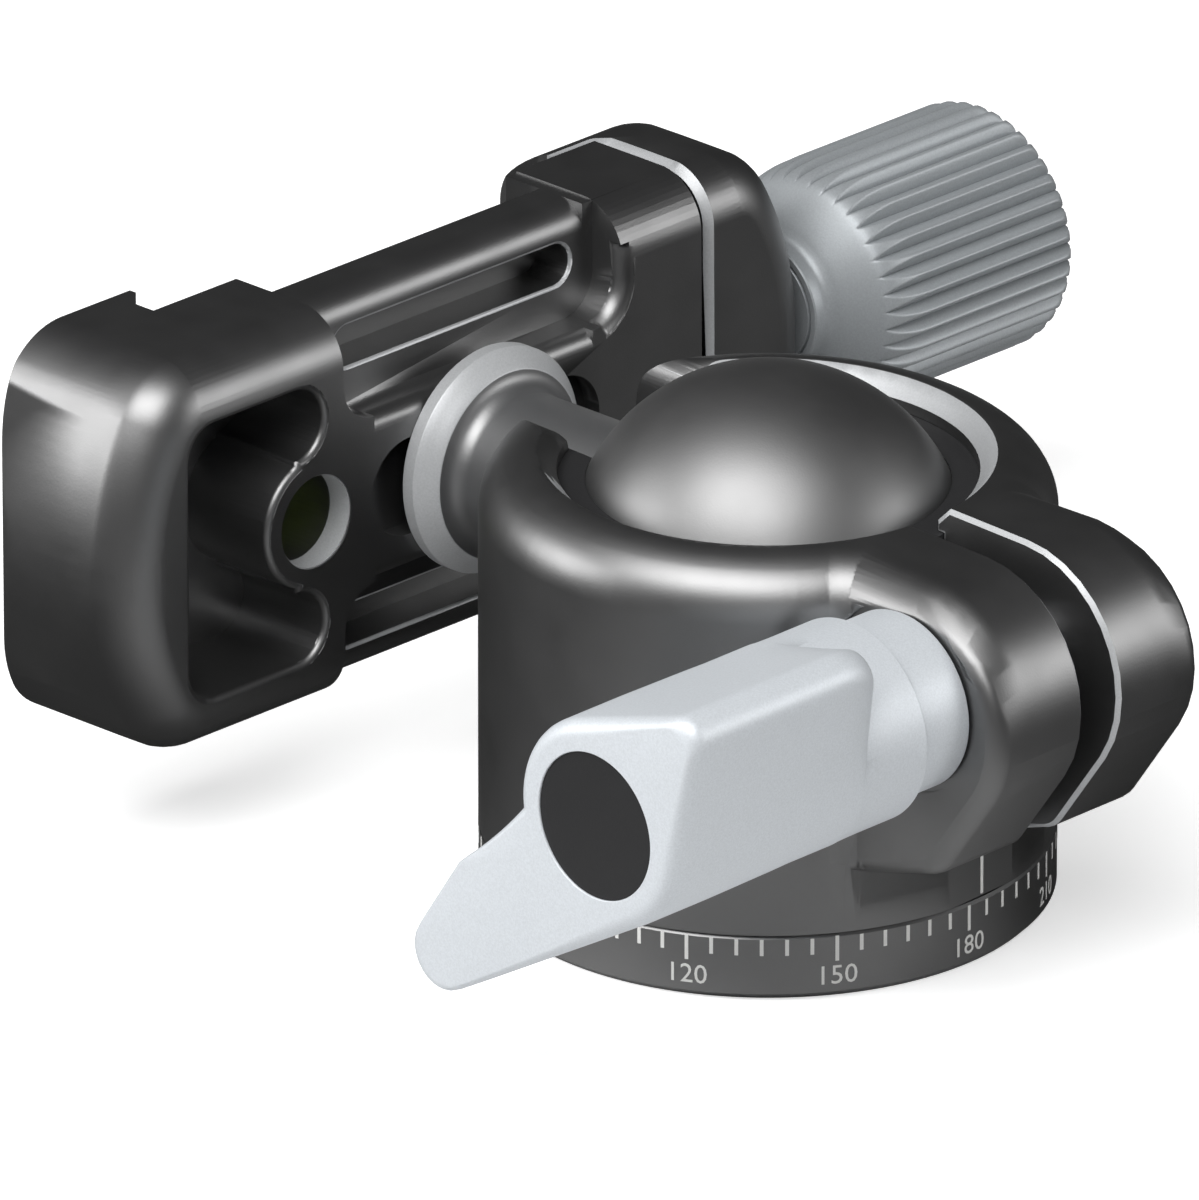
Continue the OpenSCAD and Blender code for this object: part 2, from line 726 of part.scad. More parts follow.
// A plate with the given side view in y and z, across the whole width
module across_x(half_w) {
  translate([-half_w, 0, 0]) rotate([90, 0, 90]) linear_extrude(2 * half_w) children();
}

// Plan of a clamp end: a bulging face at y = end, towards dir, and rounded corners
module end_plan(end, dir, length) {
  half = clamp_half_w - end_corner_r;
  bulge_half = clamp_half_w - end_round;
  bulge_r = (pow(bulge_half, 2) + pow(end_bulge, 2)) / (2 * end_bulge);
  bulge_y = end - dir * bulge_r;
  corner_y = bulge_y + dir * sqrt(pow(bulge_r - end_corner_r, 2) - pow(half, 2));
  meet_x = half * bulge_r / (bulge_r - end_corner_r);
  back_y = end - dir * length;
  intersection() {
    translate([-meet_x, min(end, back_y)]) square([2 * meet_x, length]);
    translate([0, bulge_y]) circle(bulge_r, $fn = 4 * $fn);
  }
  translate([-clamp_half_w, min(corner_y, back_y)]) square([2 * clamp_half_w, abs(corner_y - back_y)]);
  for (side = [-1, 1])
    translate([side * half, corner_y]) circle(end_corner_r);
}

// Side view of a clamp end, whose outer corners are rounded
module end_side(end, dir, length) {
  translate([dir > 0 ? end - length : end + end_round, clamp_l]) square([length - end_round, clamp_h]);
  translate([dir > 0 ? end - end_round - sliver : end, clamp_l + end_round])
    square([end_round + sliver, clamp_h - 2 * end_round]);
  for (z = [clamp_l + end_round, clamp_top_l - end_round])
    translate([end - dir * end_round, z]) circle(end_round);
}

// The fixed block with its jaw
module fixed_block() {
  reach = fixed_block_y - fixed_end_y;
  intersection() {
    along_y(fixed_end_y, fixed_block_y) clamp_section(clamp_half_w, clamp_l, clamp_top_l, clamp_round);
    translate([0, 0, clamp_l - cut]) linear_extrude(clamp_h + 2 * cut) end_plan(fixed_end_y, -1, reach + cut);
    across_x(clamp_half_w + cut) intersection() {
      end_side(fixed_end_y, -1, reach + cut);
      polygon([
        [fixed_end_y, clamp_l], [fixed_block_y, clamp_l], [fixed_block_y, seat_l], [fixed_foot_y, seat_l],
        [fixed_foot_y, clamp_top_l - lip_land - dovetail], [fixed_foot_y + dovetail, clamp_top_l - lip_land],
        [fixed_foot_y + dovetail, clamp_top_l], [fixed_end_y, clamp_top_l]
      ]);
    }
  }
}

// The middle of the clamp: a rounded spine between two thin rails
module middle() {
  along_y(fixed_block_y - cut, near_block_y + cut) {
    clamp_section(spine_half_w, clamp_l, relief_l, spine_round);
    clamp_section(clamp_half_w - rail_inset, recess_l, relief_l, rail_round);
  }
}

// A hollow corner between the spine and a block, from y towards dir
module recess_corner(y, dir) {
  for (side = [-1, 1])
    translate([side * spine_half_w, y, clamp_l]) linear_extrude(recess_h) difference() {
      translate([side > 0 ? -spine_round : -recess_round, dir > 0 ? -sliver : -recess_round])
        square([recess_round + spine_round, recess_round + sliver]);
      translate([side * recess_round, dir * recess_round]) circle(recess_round);
    }
}

// The block that carries the moving jaw
module near_block() {
  along_y(near_block_y, body_end_y) clamp_section(clamp_half_w, clamp_l, seat_l, clamp_round);
  along_y(relief_end_y, near_block_y + sliver)
    translate([-clamp_half_w + rail_inset, recess_l]) square([2 * (clamp_half_w - rail_inset), seat_l - recess_l]);
}

// A slot along Y with round ends
module slot_plan(x, y1, y2, half_w) {
  translate([x - half_w, y1 + half_w]) square([2 * half_w, y2 - y1 - 2 * half_w]);
  for (y = [y1 + half_w, y2 - half_w]) translate([x, y]) circle(half_w);
}

// The pocket under the fixed block: two lobes that reach round the level's boss
module pocket_plan() {
  lobe_r = (pocket_half_w - level_boss_r) / 2;
  lobe_x = pocket_half_w - lobe_r;
  lobe_y = pocket_lobe_y - lobe_r;
  difference() {
    union() {
      translate([-pocket_half_w, pocket_end_y + pocket_corner_r])
        square([2 * pocket_half_w, lobe_y - pocket_end_y - pocket_corner_r]);
      translate([-pocket_half_w + pocket_corner_r, pocket_end_y])
        square([2 * (pocket_half_w - pocket_corner_r), pocket_corner_r + sliver]);
      for (side = [-1, 1]) {
        translate([side * (pocket_half_w - pocket_corner_r), pocket_end_y + pocket_corner_r]) circle(pocket_corner_r);
        translate([side * lobe_x, lobe_y]) circle(lobe_r);
      }
    }
    translate([0, level_y]) circle(level_boss_r);
  }
}

module clamp_body() {
  color(BLACK) on_neck() difference() {
    union() {
      fixed_block();
      middle();
      near_block();
      recess_corner(fixed_block_y, 1);
      recess_corner(near_block_y, -1);
    }
    translate([0, 0, clamp_l - cut]) linear_extrude(pocket_depth + cut) pocket_plan();
    translate([0, level_y, clamp_l - cut]) cylinder(r = level_hole_r, h = seat_h + 2 * cut);
    for (side = [-1, 1])
      translate([0, 0, recess_l - cut]) linear_extrude(side_slot_depth + cut)
        slot_plan(side * side_slot_x, side_slot_y1, side_slot_y2, side_slot_w / 2);
    translate([0, 0, clamp_l - cut]) linear_extrude(key_depth + cut) slot_plan(0, key_y1, key_y2, key_half_w);
    cylinder(r = bolt_r + run_fit, h = clamp_top_l);
    translate([0, 0, relief_l - bolt_sink - bolt_head_h])
      cylinder(r1 = bolt_r + run_fit, r2 = bolt_head_r + run_fit, h = bolt_head_h);
    translate([0, 0, relief_l - bolt_sink - sliver]) cylinder(r = bolt_head_r + run_fit, h = bolt_sink + cut);
    translate([0, screw_hole_y, clamp_l + screw_h]) rotate([-90, 0, 0])
      cylinder(r = screw_r + run_fit, h = body_end_y - screw_hole_y + cut);
    for (side = [-1, 1])
      translate([side * guide_pin_x, pin_hole_y, clamp_l + pin_l]) rotate([-90, 0, 0])
        cylinder(r = guide_pin_r + run_fit, h = body_end_y - pin_hole_y + cut);
  }
}

module clamp_bolt() {
  color(STEEL) on_neck() difference() {
    union() {
      translate([0, 0, bolt_end_l]) cylinder(r = bolt_r, h = relief_l - bolt_sink - bolt_end_l);
      translate([0, 0, relief_l - bolt_sink - bolt_head_h])
        cylinder(r1 = bolt_r, r2 = bolt_head_r, h = bolt_head_h);
    }
    translate([0, 0, relief_l - bolt_sink - bolt_socket_depth])
      cylinder(r = bolt_socket_r, h = bolt_socket_depth + cut, $fn = 6);
  }
}

module level_bezel() {
  color(STEEL) on_neck() translate([0, level_y, seat_l - level_h]) difference() {
    cylinder(r = level_hole_r - seat_fit, h = level_h);
    translate([0, 0, -cut]) cylinder(r = level_hole_r - bezel_t, h = level_h + 2 * cut);
  }
}

module spirit_level() {
  color("#b8d060") on_neck() translate([0, level_y, seat_l - level_h])
    cylinder(r = level_hole_r - bezel_t - seat_fit, h = level_h - seat_fit);
}

// The moving jaw's side view: an upright leg and a lip with the dovetail
module jaw_side() {
  intersection() {
    end_side(jaw_end_y, 1, jaw_end_y - moving_foot_y + 2 * dovetail);
    polygon([
      [jaw_face_y, clamp_l], [jaw_end_y, clamp_l], [jaw_end_y, clamp_top_l],
      [moving_foot_y - dovetail, clamp_top_l], [moving_foot_y - dovetail, clamp_top_l - lip_land],
      [moving_foot_y, clamp_top_l - lip_land - dovetail], [moving_foot_y, seat_l + jaw_slide_gap],
      [jaw_face_y, seat_l + jaw_slide_gap]
    ]);
  }
}

module moving_jaw() {
  reach = jaw_end_y - moving_foot_y + 2 * dovetail;
  color(BLACK) on_neck() difference() {
    intersection() {
      along_y(jaw_end_y - reach, jaw_end_y) clamp_section(clamp_half_w, clamp_l, clamp_top_l, clamp_round);
      translate([0, 0, clamp_l - cut]) linear_extrude(clamp_h + 2 * cut) end_plan(jaw_end_y, 1, reach + cut);
      across_x(clamp_half_w + cut) jaw_side();
    }
    translate([0, jaw_face_y - cut, clamp_l + screw_h]) rotate([-90, 0, 0]) {
      cylinder(r = screw_r + run_fit, h = jaw_end_y - jaw_face_y + 2 * cut);
      cylinder(r = clip_pocket_r, h = clip_pocket_h + cut);
    }
    for (side = [-1, 1])
      translate([side * guide_pin_x, jaw_face_y - cut, clamp_l + pin_l]) rotate([-90, 0, 0])
        cylinder(r = guide_pin_r + seat_fit, h = pin_seat_depth + cut);
  }
}

module jaw_pins() {
  color(STEEL) on_neck() for (side = [-1, 1])
    translate([side * guide_pin_x, pin_end_y, clamp_l + pin_l]) rotate([-90, 0, 0])
      cylinder(r = guide_pin_r, h = jaw_face_y + pin_seat_depth - pin_end_y - seat_fit);
}

// Knob and screw
module knob_profile() {
  polygon([
    [0, knob_start_y], [knob_hub_r, knob_start_y], [knob_hub_r, knob_start_y + knob_hub_l],
    [knob_cone_r, knob_start_y + knob_hub_l + knob_cone_l],
    [knob_r, knob_start_y + knob_hub_l + knob_cone_l + knob_front_l], [knob_r, knob_end_y - knob_back],
    [knob_r - knob_back, knob_end_y], [0, knob_end_y]
  ]);
}

module knob() {
  color(GREY) on_screw() difference() {
    intersection() {
      rotate_extrude() knob_profile();
      translate([0, 0, knob_start_y - cut]) linear_extrude(knob_l + 2 * cut) polygon([
        for (i = [0 : 2 * flute_count - 1])
          let (a = i * 180 / flute_count, r = knob_r + flute_land - (i % 2) * (flute_depth + flute_land))
            [r * cos(a), r * sin(a)]
      ]);
    }
    translate([0, 0, knob_start_y - cut]) cylinder(r = screw_r + seat_fit, h = knob_screw_l + cut);
  }
}

module clamp_screw() {
  color(STEEL) on_screw() difference() {
    translate([0, 0, screw_end_y]) cylinder(r = screw_r, h = knob_start_y + knob_screw_l - screw_end_y - seat_fit);
    translate([0, 0, jaw_face_y + clip_pocket_h - screw_clip_t - seat_fit]) difference() {
      cylinder(r = screw_r + cut, h = screw_clip_t);
      translate([0, 0, -cut]) cylinder(r = screw_neck_r, h = screw_clip_t + 2 * cut);
    }
  }
}

module screw_clip() {
  color(STEEL) on_screw() translate([0, 0, jaw_face_y + clip_pocket_h - screw_clip_t]) difference() {
    cylinder(r = screw_clip_r, h = screw_clip_t - 2 * seat_fit);
    translate([0, 0, -cut]) cylinder(r = screw_neck_r + seat_fit, h = screw_clip_t + 2 * cut);
    translate([0, -screw_neck_r - seat_fit, -cut])
      cube([screw_clip_r + cut, 2 * (screw_neck_r + seat_fit), screw_clip_t + 2 * cut]);
  }
}

scale_ring();
pan_spindle();
thread_bush();
base_screws();
friction_pad();
retaining_clip();
housing();
pan_shim();
lower_cup();
cup_spring();
seat_liner();
lug_nut();
clamp_stud();
thrust_collar();
lever_handle();
lever_screw();
lever_cap();
ball();
stem();
clamp_body();
clamp_bolt();
level_bezel();
spirit_level();
moving_jaw();
jaw_pins();
knob();
clamp_screw();
screw_clip();
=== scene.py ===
"""Looks of a compact ball head: neck laid in its notch, lever lock, dovetail clamp with a knob."""

import json
import math

import bmesh
import bpy
import numpy as np
from mathutils import Matrix, Vector


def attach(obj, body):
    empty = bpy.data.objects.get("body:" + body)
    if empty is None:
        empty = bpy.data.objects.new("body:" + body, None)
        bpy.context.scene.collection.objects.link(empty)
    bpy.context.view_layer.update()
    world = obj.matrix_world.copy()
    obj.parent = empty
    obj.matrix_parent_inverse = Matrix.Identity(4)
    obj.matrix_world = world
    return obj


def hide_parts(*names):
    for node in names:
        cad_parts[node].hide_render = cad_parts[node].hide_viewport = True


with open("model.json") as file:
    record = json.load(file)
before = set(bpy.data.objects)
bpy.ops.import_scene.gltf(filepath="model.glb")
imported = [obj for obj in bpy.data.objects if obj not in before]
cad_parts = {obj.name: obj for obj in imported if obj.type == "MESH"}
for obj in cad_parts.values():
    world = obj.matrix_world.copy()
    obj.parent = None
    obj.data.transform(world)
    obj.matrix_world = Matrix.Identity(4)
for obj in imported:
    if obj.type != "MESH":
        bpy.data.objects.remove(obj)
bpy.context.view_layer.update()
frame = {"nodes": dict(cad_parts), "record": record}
MM = 0.001


# Camera
# A long lens far away, 24 degrees above the floor and 45 degrees round from
# the front, so that parallel edges stay parallel.
camera_elevation = math.radians(24.3)
camera_azimuth = math.radians(45)
camera_distance = 2.765
camera_target = Vector((-0.01383, -0.00260, 0.01759))
toward = Vector((
    math.sin(camera_azimuth) * math.cos(camera_elevation),
    -math.cos(camera_azimuth) * math.cos(camera_elevation),
    math.sin(camera_elevation),
))


def placed(name, data):
    """An object with the given data, in the scene."""
    thing = bpy.data.objects.new(name, data)
    bpy.context.scene.collection.objects.link(thing)
    return thing


camera_data = bpy.data.cameras.new("camera")
camera_data.lens = 1200
camera_data.sensor_width = 36
camera_data.clip_end = 20
camera = placed("camera", camera_data)
camera.location = camera_target + toward * camera_distance
camera.rotation_euler = toward.to_track_quat("Z", "Y").to_euler()
bpy.context.scene.camera = camera
bpy.context.scene.view_settings.view_transform = "Standard"


# Lamps
# One wide soft box above the camera lights the head and draws the bands on
# its soft edges. Two weaker boxes at the sides draw the lug and the far left.
right = Vector((math.cos(camera_azimuth), math.sin(camera_azimuth), 0))
up = toward.cross(right)
head_middle = Vector((-0.008, 0, 0.024))


def soft_box(name, direction, distance, width, height, power):
    """An area lamp that looks at the middle of the head."""
    data = bpy.data.lights.new(name, "AREA")
    data.shape = "RECTANGLE"
    data.size = width
    data.size_y = height
    data.energy = power
    lamp = placed(name, data)
    lamp.location = head_middle + direction.normalized() * distance
    lamp.rotation_euler = direction.to_track_quat("Z", "Y").to_euler()


soft_box("key_light", toward * 0.80 - right * 0.22 + up * 0.54,
         distance=0.62, width=0.66, height=0.42, power=5.8)
soft_box("right_light", toward * 0.16 + right * 0.97 + up * 0.22,
         distance=0.70, width=0.30, height=0.30, power=1.5)
soft_box("left_light", toward * 0.16 - right * 0.98 + up * 0.30,
         distance=0.62, width=0.34, height=0.30, power=2.0)


# Floor
# A white table that keeps the soft shadow. The room is white to the eye and
# dim in reflections, where the table shows a painted reflection in front of the base.
def math_node(tree, operation, *values):
    """The output of a Math node of the tree, fed with sockets or plain values."""
    node = tree.nodes.new("ShaderNodeMath")
    node.operation = operation
    for place, value in enumerate(values):
        if isinstance(value, bpy.types.NodeSocket):
            tree.links.new(value, node.inputs[place])
        else:
            node.inputs[place].default_value = value
    return node.outputs[0]


world = bpy.data.worlds.new("room")
bpy.context.scene.world = world
world.use_nodes = True
room = world.node_tree
room_path = room.nodes.new("ShaderNodeLightPath")
room_level = room_path.outputs["Is Camera Ray"]
for ray, share in (("Is Transmission Ray", 1.0), ("Is Glossy Ray", 0.015)):
    room_level = math_node(room, "MULTIPLY_ADD", room_path.outputs[ray], share, room_level)
room_base = 0.012
room_glow = room.nodes["Background"]
room_glow.inputs["Color"].default_value = (1, 1, 1, 1)
room.links.new(math_node(room, "ADD", room_level, room_base), room_glow.inputs["Strength"])

floor_size = 6
floor_corners = ((-1, -1), (1, -1), (1, 1), (-1, 1))
floor_mesh = bpy.data.meshes.new("floor")
floor_mesh.from_pydata([(x * floor_size, y * floor_size, 0) for x, y in floor_corners], [], [(0, 1, 2, 3)])
floor = placed("floor", floor_mesh)
floor_finish = bpy.data.materials.new("floor")
floor_finish.use_nodes = True
floor_tree = floor_finish.node_tree
floor_nodes, floor_links = floor_tree.nodes, floor_tree.links
floor_shader = floor_nodes["Principled BSDF"]
floor_shader.inputs["Roughness"].default_value = 1
floor_shader.inputs["Specular IOR Level"].default_value = 0
floor_path = floor_nodes.new("ShaderNodeLightPath")
floor_place = floor_nodes.new("ShaderNodeTexCoord")

# Painted reflection: seen in reflections, the table is palest beside the base and darkens with distance.
floor_far = floor_nodes.new("ShaderNodeVectorMath")
floor_far.operation = "LENGTH"
floor_links.new(floor_place.outputs["Object"], floor_far.inputs[0])
floor_near = floor_nodes.new("ShaderNodeMapRange")
for limit, value in (("From Min", 0.022), ("From Max", 0.085), ("To Min", 0.75), ("To Max", 0.20)):
    floor_near.inputs[limit].default_value = value
floor_links.new(floor_far.outputs["Value"], floor_near.inputs["Value"])

# The painted reflection also darkens away from the front, on the camera's side of the base.
floor_way = floor_nodes.new("ShaderNodeVectorMath")
floor_way.operation = "NORMALIZE"
floor_links.new(floor_place.outputs["Object"], floor_way.inputs[0])
floor_side = floor_nodes.new("ShaderNodeVectorMath")
floor_side.operation = "DOT_PRODUCT"
floor_side.inputs[1].default_value = (math.sin(camera_azimuth), -math.cos(camera_azimuth), 0)
floor_links.new(floor_way.outputs["Vector"], floor_side.inputs[0])
floor_front = floor_nodes.new("ShaderNodeMapRange")
floor_front.interpolation_type = "SMOOTHSTEP"
for limit, value in (("From Min", 0.15), ("From Max", 1.0), ("To Min", 0.12)):
    floor_front.inputs[limit].default_value = value
floor_links.new(floor_side.outputs["Value"], floor_front.inputs["Value"])
floor_painted_reflection = math_node(floor_tree, "MULTIPLY", floor_near.outputs["Result"], floor_front.outputs["Result"])

floor_white, floor_lift = 0.80, 0.55
# Reflection rays see the painted reflection, and all other rays see the white table.
floor_reflection_paint = floor_nodes.new("ShaderNodeMix")
floor_reflection_paint.inputs["A"].default_value = floor_white
floor_links.new(floor_path.outputs["Is Glossy Ray"], floor_reflection_paint.inputs["Factor"])
floor_links.new(floor_painted_reflection, floor_reflection_paint.inputs["B"])
floor_links.new(floor_reflection_paint.outputs["Result"], floor_shader.inputs["Base Color"])
floor_glow = floor_nodes.new("ShaderNodeEmission")
floor_links.new(
    math_node(floor_tree, "MULTIPLY", floor_path.outputs["Is Camera Ray"], floor_lift),
    floor_glow.inputs["Strength"],
)
floor_add = floor_nodes.new("ShaderNodeAddShader")
floor_links.new(floor_shader.outputs[0], floor_add.inputs[0])
floor_links.new(floor_glow.outputs[0], floor_add.inputs[1])
floor_links.new(floor_add.outputs[0], floor_nodes["Material Output"].inputs["Surface"])
floor_mesh.materials.append(floor_finish)


# Scale ring
# The turned foot of the head, in black anodised aluminium. The degree scale
# is printed on its wall, and it stays still on the tripod.
def metal(name, colour, roughness, metallic=0.0, ior=1.5, grain_depth=0.00001, cloud=0.15):
    """A blasted and anodised metal: fine grain in bump and colour, and a slight cloud in roughness."""
    grain, cloud_size, rough_swing, bump_strength = 0.00014, 0.004, 0.04, 0.6
    material = bpy.data.materials.new(name)
    material.use_nodes = True
    nodes, links = material.node_tree.nodes, material.node_tree.links
    shader = nodes["Principled BSDF"]
    shader.inputs["Metallic"].default_value = metallic
    shader.inputs["IOR"].default_value = ior
    place = nodes.new("ShaderNodeTexCoord")
    fine = nodes.new("ShaderNodeTexNoise")
    fine.inputs["Scale"].default_value = 1 / grain
    fine.inputs["Detail"].default_value = 2
    broad = nodes.new("ShaderNodeTexNoise")
    broad.inputs["Scale"].default_value = 1 / cloud_size
    broad.inputs["Detail"].default_value = 4
    links.new(place.outputs["Object"], fine.inputs["Vector"])
    links.new(place.outputs["Object"], broad.inputs["Vector"])
    tint = nodes.new("ShaderNodeMapRange")
    tint.inputs["To Min"].default_value = 1 - cloud
    tint.inputs["To Max"].default_value = 1 + cloud
    shade = nodes.new("ShaderNodeVectorMath")
    shade.operation = "SCALE"
    shade.inputs[0].default_value = colour
    links.new(fine.outputs["Fac"], tint.inputs["Value"])
    links.new(tint.outputs["Result"], shade.inputs["Scale"])
    links.new(shade.outputs["Vector"], shader.inputs["Base Color"])
    rough = nodes.new("ShaderNodeMapRange")
    rough.inputs["To Min"].default_value = roughness - rough_swing
    rough.inputs["To Max"].default_value = roughness + rough_swing
    links.new(broad.outputs["Fac"], rough.inputs["Value"])
    links.new(rough.outputs["Result"], shader.inputs["Roughness"])
    bump = nodes.new("ShaderNodeBump")
    bump.inputs["Distance"].default_value = grain_depth
    bump.inputs["Strength"].default_value = bump_strength
    links.new(fine.outputs["Fac"], bump.inputs["Height"])
    links.new(bump.outputs["Normal"], shader.inputs["Normal"])
    return material


def worked(thing):
    """The plain mesh that an object's text or modifiers make."""
    return bpy.data.meshes.new_from_object(thing.evaluated_get(bpy.context.evaluated_depsgraph_get()))


def settled(piece, body, slot, *nodes):
    """The piece with its modifiers worked in, riding on its body and standing in for its nodes."""
    ready = worked(piece)
    piece.modifiers.clear()
    piece.data = ready
    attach(piece, body)
    if nodes:
        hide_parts(*nodes)
    return piece


def own_shape(node):
    """The node's solid, with the triangles of each flat face joined."""
    shape = bmesh.new()
    shape.from_mesh(frame["nodes"][node].data)
    bmesh.ops.remove_doubles(shape, verts=shape.verts, dist=1e-6)
    bmesh.ops.dissolve_limit(shape, angle_limit=math.radians(0.2), verts=shape.verts, edges=shape.edges)
    return shape


sharp_angle = math.radians(28)


def picked(shape, rule):
    """The sharp edges of the shape whose middles the rule accepts."""
    return [line for line in shape.edges
            if line.calc_face_angle(0) > sharp_angle and rule((line.verts[0].co + line.verts[1].co) / 2)]


def finished(node, body, slot, materials, edge=0, breaks=(), cuts=None, within=None, cutters=()):
    """The node's own shape, with every edge broken by one width, or with a bright chamfer on the edges
    that each rule in breaks picks. The rule cuts picks faces left bright. The solid within bounds the
    shape, and the solids in cutters are taken away from it."""
    shape = own_shape(node)
    for face in shape.faces:
        face.material_index = 0
    for rule, width in breaks:
        bmesh.ops.bevel(shape, geom=picked(shape, rule), offset=width, offset_type="OFFSET", segments=1,
                        profile=0.5, affect="EDGES", clamp_overlap=False, material=1, miter_outer="ARC")
    mesh = bpy.data.meshes.new(node + "_finished")
    for material in materials:
        mesh.materials.append(material)
    shape.to_mesh(mesh)
    shape.free()
    piece = placed(node + "_finished", mesh)
    if edge:
        bevel = piece.modifiers.new("edge", "BEVEL")
        bevel.width = edge
        bevel.segments = 2
        bevel.limit_method = "ANGLE"
        bevel.angle_limit = sharp_angle
    trims = [(within, "INTERSECT")] if within else []
    trims += [(solid, "DIFFERENCE") for solid in cutters]
    for solid, operation in trims:
        trim = piece.modifiers.new("trim", "BOOLEAN")
        trim.operation = operation
        trim.solver = "MANIFOLD"
        trim.object = solid
    ready = worked(piece)
    piece.modifiers.clear()
    piece.data = ready
    for solid, operation in trims:
        bpy.data.objects.remove(solid)
    if cuts:
        for face in ready.polygons:
            if cuts(face.center, face.normal):
                face.material_index = 1
    ready.shade_smooth()
    ready.set_sharp_from_angle(angle=sharp_angle)
    even = piece.modifiers.new("even", "WEIGHTED_NORMAL")
    even.keep_sharp = True
    settled(piece, body, slot, node)


black_anodised = metal("black_anodised", (0.0035, 0.0035, 0.0038), 0.42, ior=2.7)
bright_cut = metal("bright_cut", (0.46, 0.47, 0.48), 0.45, metallic=0.3)
finished("scale_ring", "base", "black_anodised", [black_anodised])


# Degree scale
# White printed marks on the ring's wall, every 5 degrees, with a longer mark
# and a number every 30. The readings grow to the right, seen from outside.
white_print = metal("white_print", (0.72, 0.72, 0.70), 0.6, cloud=0.04, grain_depth=0.000002)
ring_r = 20 * MM
scale_turn = math.radians(-181.4)
tick_rules = {"Count": 72, "Radius": ring_r, "Width": 0.26 * MM, "Long": 6}
tick_thickness = 0.05 * MM
short_span, long_span = (3.4, 4.6), (2.8, 4.68)


def rule_tree(name, rules):
    """A geometry node tree whose inputs are a geometry, the named rules and a finish."""
    tree = bpy.data.node_groups.new(name, "GeometryNodeTree")
    tree.is_modifier = True
    tree.interface.new_socket("Geometry", in_out="INPUT", socket_type="NodeSocketGeometry")
    for rule, value in rules.items():
        kind = "NodeSocketInt" if isinstance(value, int) else "NodeSocketFloat"
        tree.interface.new_socket(rule, in_out="INPUT", socket_type=kind)
    tree.interface.new_socket("Finish", in_out="INPUT", socket_type="NodeSocketMaterial")
    tree.interface.new_socket("Geometry", in_out="OUTPUT", socket_type="NodeSocketGeometry")
    return tree


ticks_tree = rule_tree("degree_ticks", tick_rules)
tn, tl = ticks_tree.nodes, ticks_tree.links
t_in, t_out = tn.new("NodeGroupInput"), tn.new("NodeGroupOutput")
t_circle = tn.new("GeometryNodeMeshCircle")
tl.new(t_in.outputs["Count"], t_circle.inputs["Vertices"])
tl.new(t_in.outputs["Radius"], t_circle.inputs["Radius"])
t_index = tn.new("GeometryNodeInputIndex").outputs[0]
t_step = math_node(ticks_tree, "DIVIDE", math.tau, t_in.outputs["Count"])
t_turn = tn.new("ShaderNodeCombineXYZ")
tl.new(math_node(ticks_tree, "MULTIPLY", t_index, t_step), t_turn.inputs["Z"])
t_phase = math_node(ticks_tree, "MODULO", t_index, t_in.outputs["Long"])
t_join = tn.new("GeometryNodeJoinGeometry")
for comparison, (low, high) in (("GREATER_THAN", short_span), ("LESS_THAN", long_span)):
    t_bar = tn.new("GeometryNodeMeshCube")
    t_size = tn.new("ShaderNodeCombineXYZ")
    t_size.inputs["X"].default_value = tick_thickness
    t_size.inputs["Z"].default_value = (high - low) * MM
    tl.new(t_in.outputs["Width"], t_size.inputs["Y"])
    tl.new(t_size.outputs[0], t_bar.inputs["Size"])
    t_lift = tn.new("GeometryNodeTransform")
    t_lift.inputs["Translation"].default_value = (0, 0, (high + low) / 2 * MM)
    tl.new(t_bar.outputs["Mesh"], t_lift.inputs["Geometry"])
    t_place = tn.new("GeometryNodeInstanceOnPoints")
    tl.new(t_circle.outputs["Mesh"], t_place.inputs["Points"])
    tl.new(math_node(ticks_tree, comparison, t_phase, 0.5), t_place.inputs["Selection"])
    tl.new(t_lift.outputs["Geometry"], t_place.inputs["Instance"])
    tl.new(t_turn.outputs[0], t_place.inputs["Rotation"])
    tl.new(t_place.outputs["Instances"], t_join.inputs["Geometry"])
t_whole = tn.new("GeometryNodeRealizeInstances")
t_finish = tn.new("GeometryNodeSetMaterial")
tl.new(t_join.outputs["Geometry"], t_whole.inputs["Geometry"])
tl.new(t_whole.outputs["Geometry"], t_finish.inputs["Geometry"])
tl.new(t_in.outputs["Finish"], t_finish.inputs["Material"])
tl.new(t_finish.outputs["Geometry"], t_out.inputs["Geometry"])


def by_rule(name, mesh, tree, values, body, slot, *nodes):
    """A piece made by a geometry node tree with the given inputs, as a plain mesh."""
    piece = placed(name, mesh)
    maker = piece.modifiers.new("rule", "NODES")
    maker.node_group = tree
    for socket in tree.interface.items_tree:
        if socket.in_out == "INPUT" and socket.name in values:
            maker[socket.identifier] = values[socket.name]
    return settled(piece, body, slot, *nodes)


ticks = by_rule("degree_ticks", bpy.data.meshes.new("degree_ticks"), ticks_tree,
                {**tick_rules, "Finish": white_print}, "base", None)
ticks.data.transform(Matrix.Rotation(scale_turn, 4, "Z"))

number_height, number_foot = 1.38 * MM, 1.08 * MM
number_r = ring_r + 0.005 * MM
font_capital_share = 0.69


def wrapped_number(words, angle):
    """Printed words, bent round the pan axis at the given angle, as a mesh."""
    curve = bpy.data.curves.new("number", "FONT")
    curve.body = words
    curve.align_x = "CENTER"
    curve.size = number_height / font_capital_share
    curve.extrude = 0.02 * MM
    curve.resolution_u = 3
    holder = placed("number", curve)
    mesh = worked(holder)
    bpy.data.objects.remove(holder)
    shape = bmesh.new()
    shape.from_mesh(mesh)
    bmesh.ops.remove_doubles(shape, verts=shape.verts, dist=1e-7)
    for point in shape.verts:
        turn = angle + point.co.x / number_r
        reach = number_r + point.co.z
        point.co = Vector((reach * math.cos(turn), reach * math.sin(turn), number_foot + point.co.y))
    shape.to_mesh(mesh)
    shape.free()
    return mesh


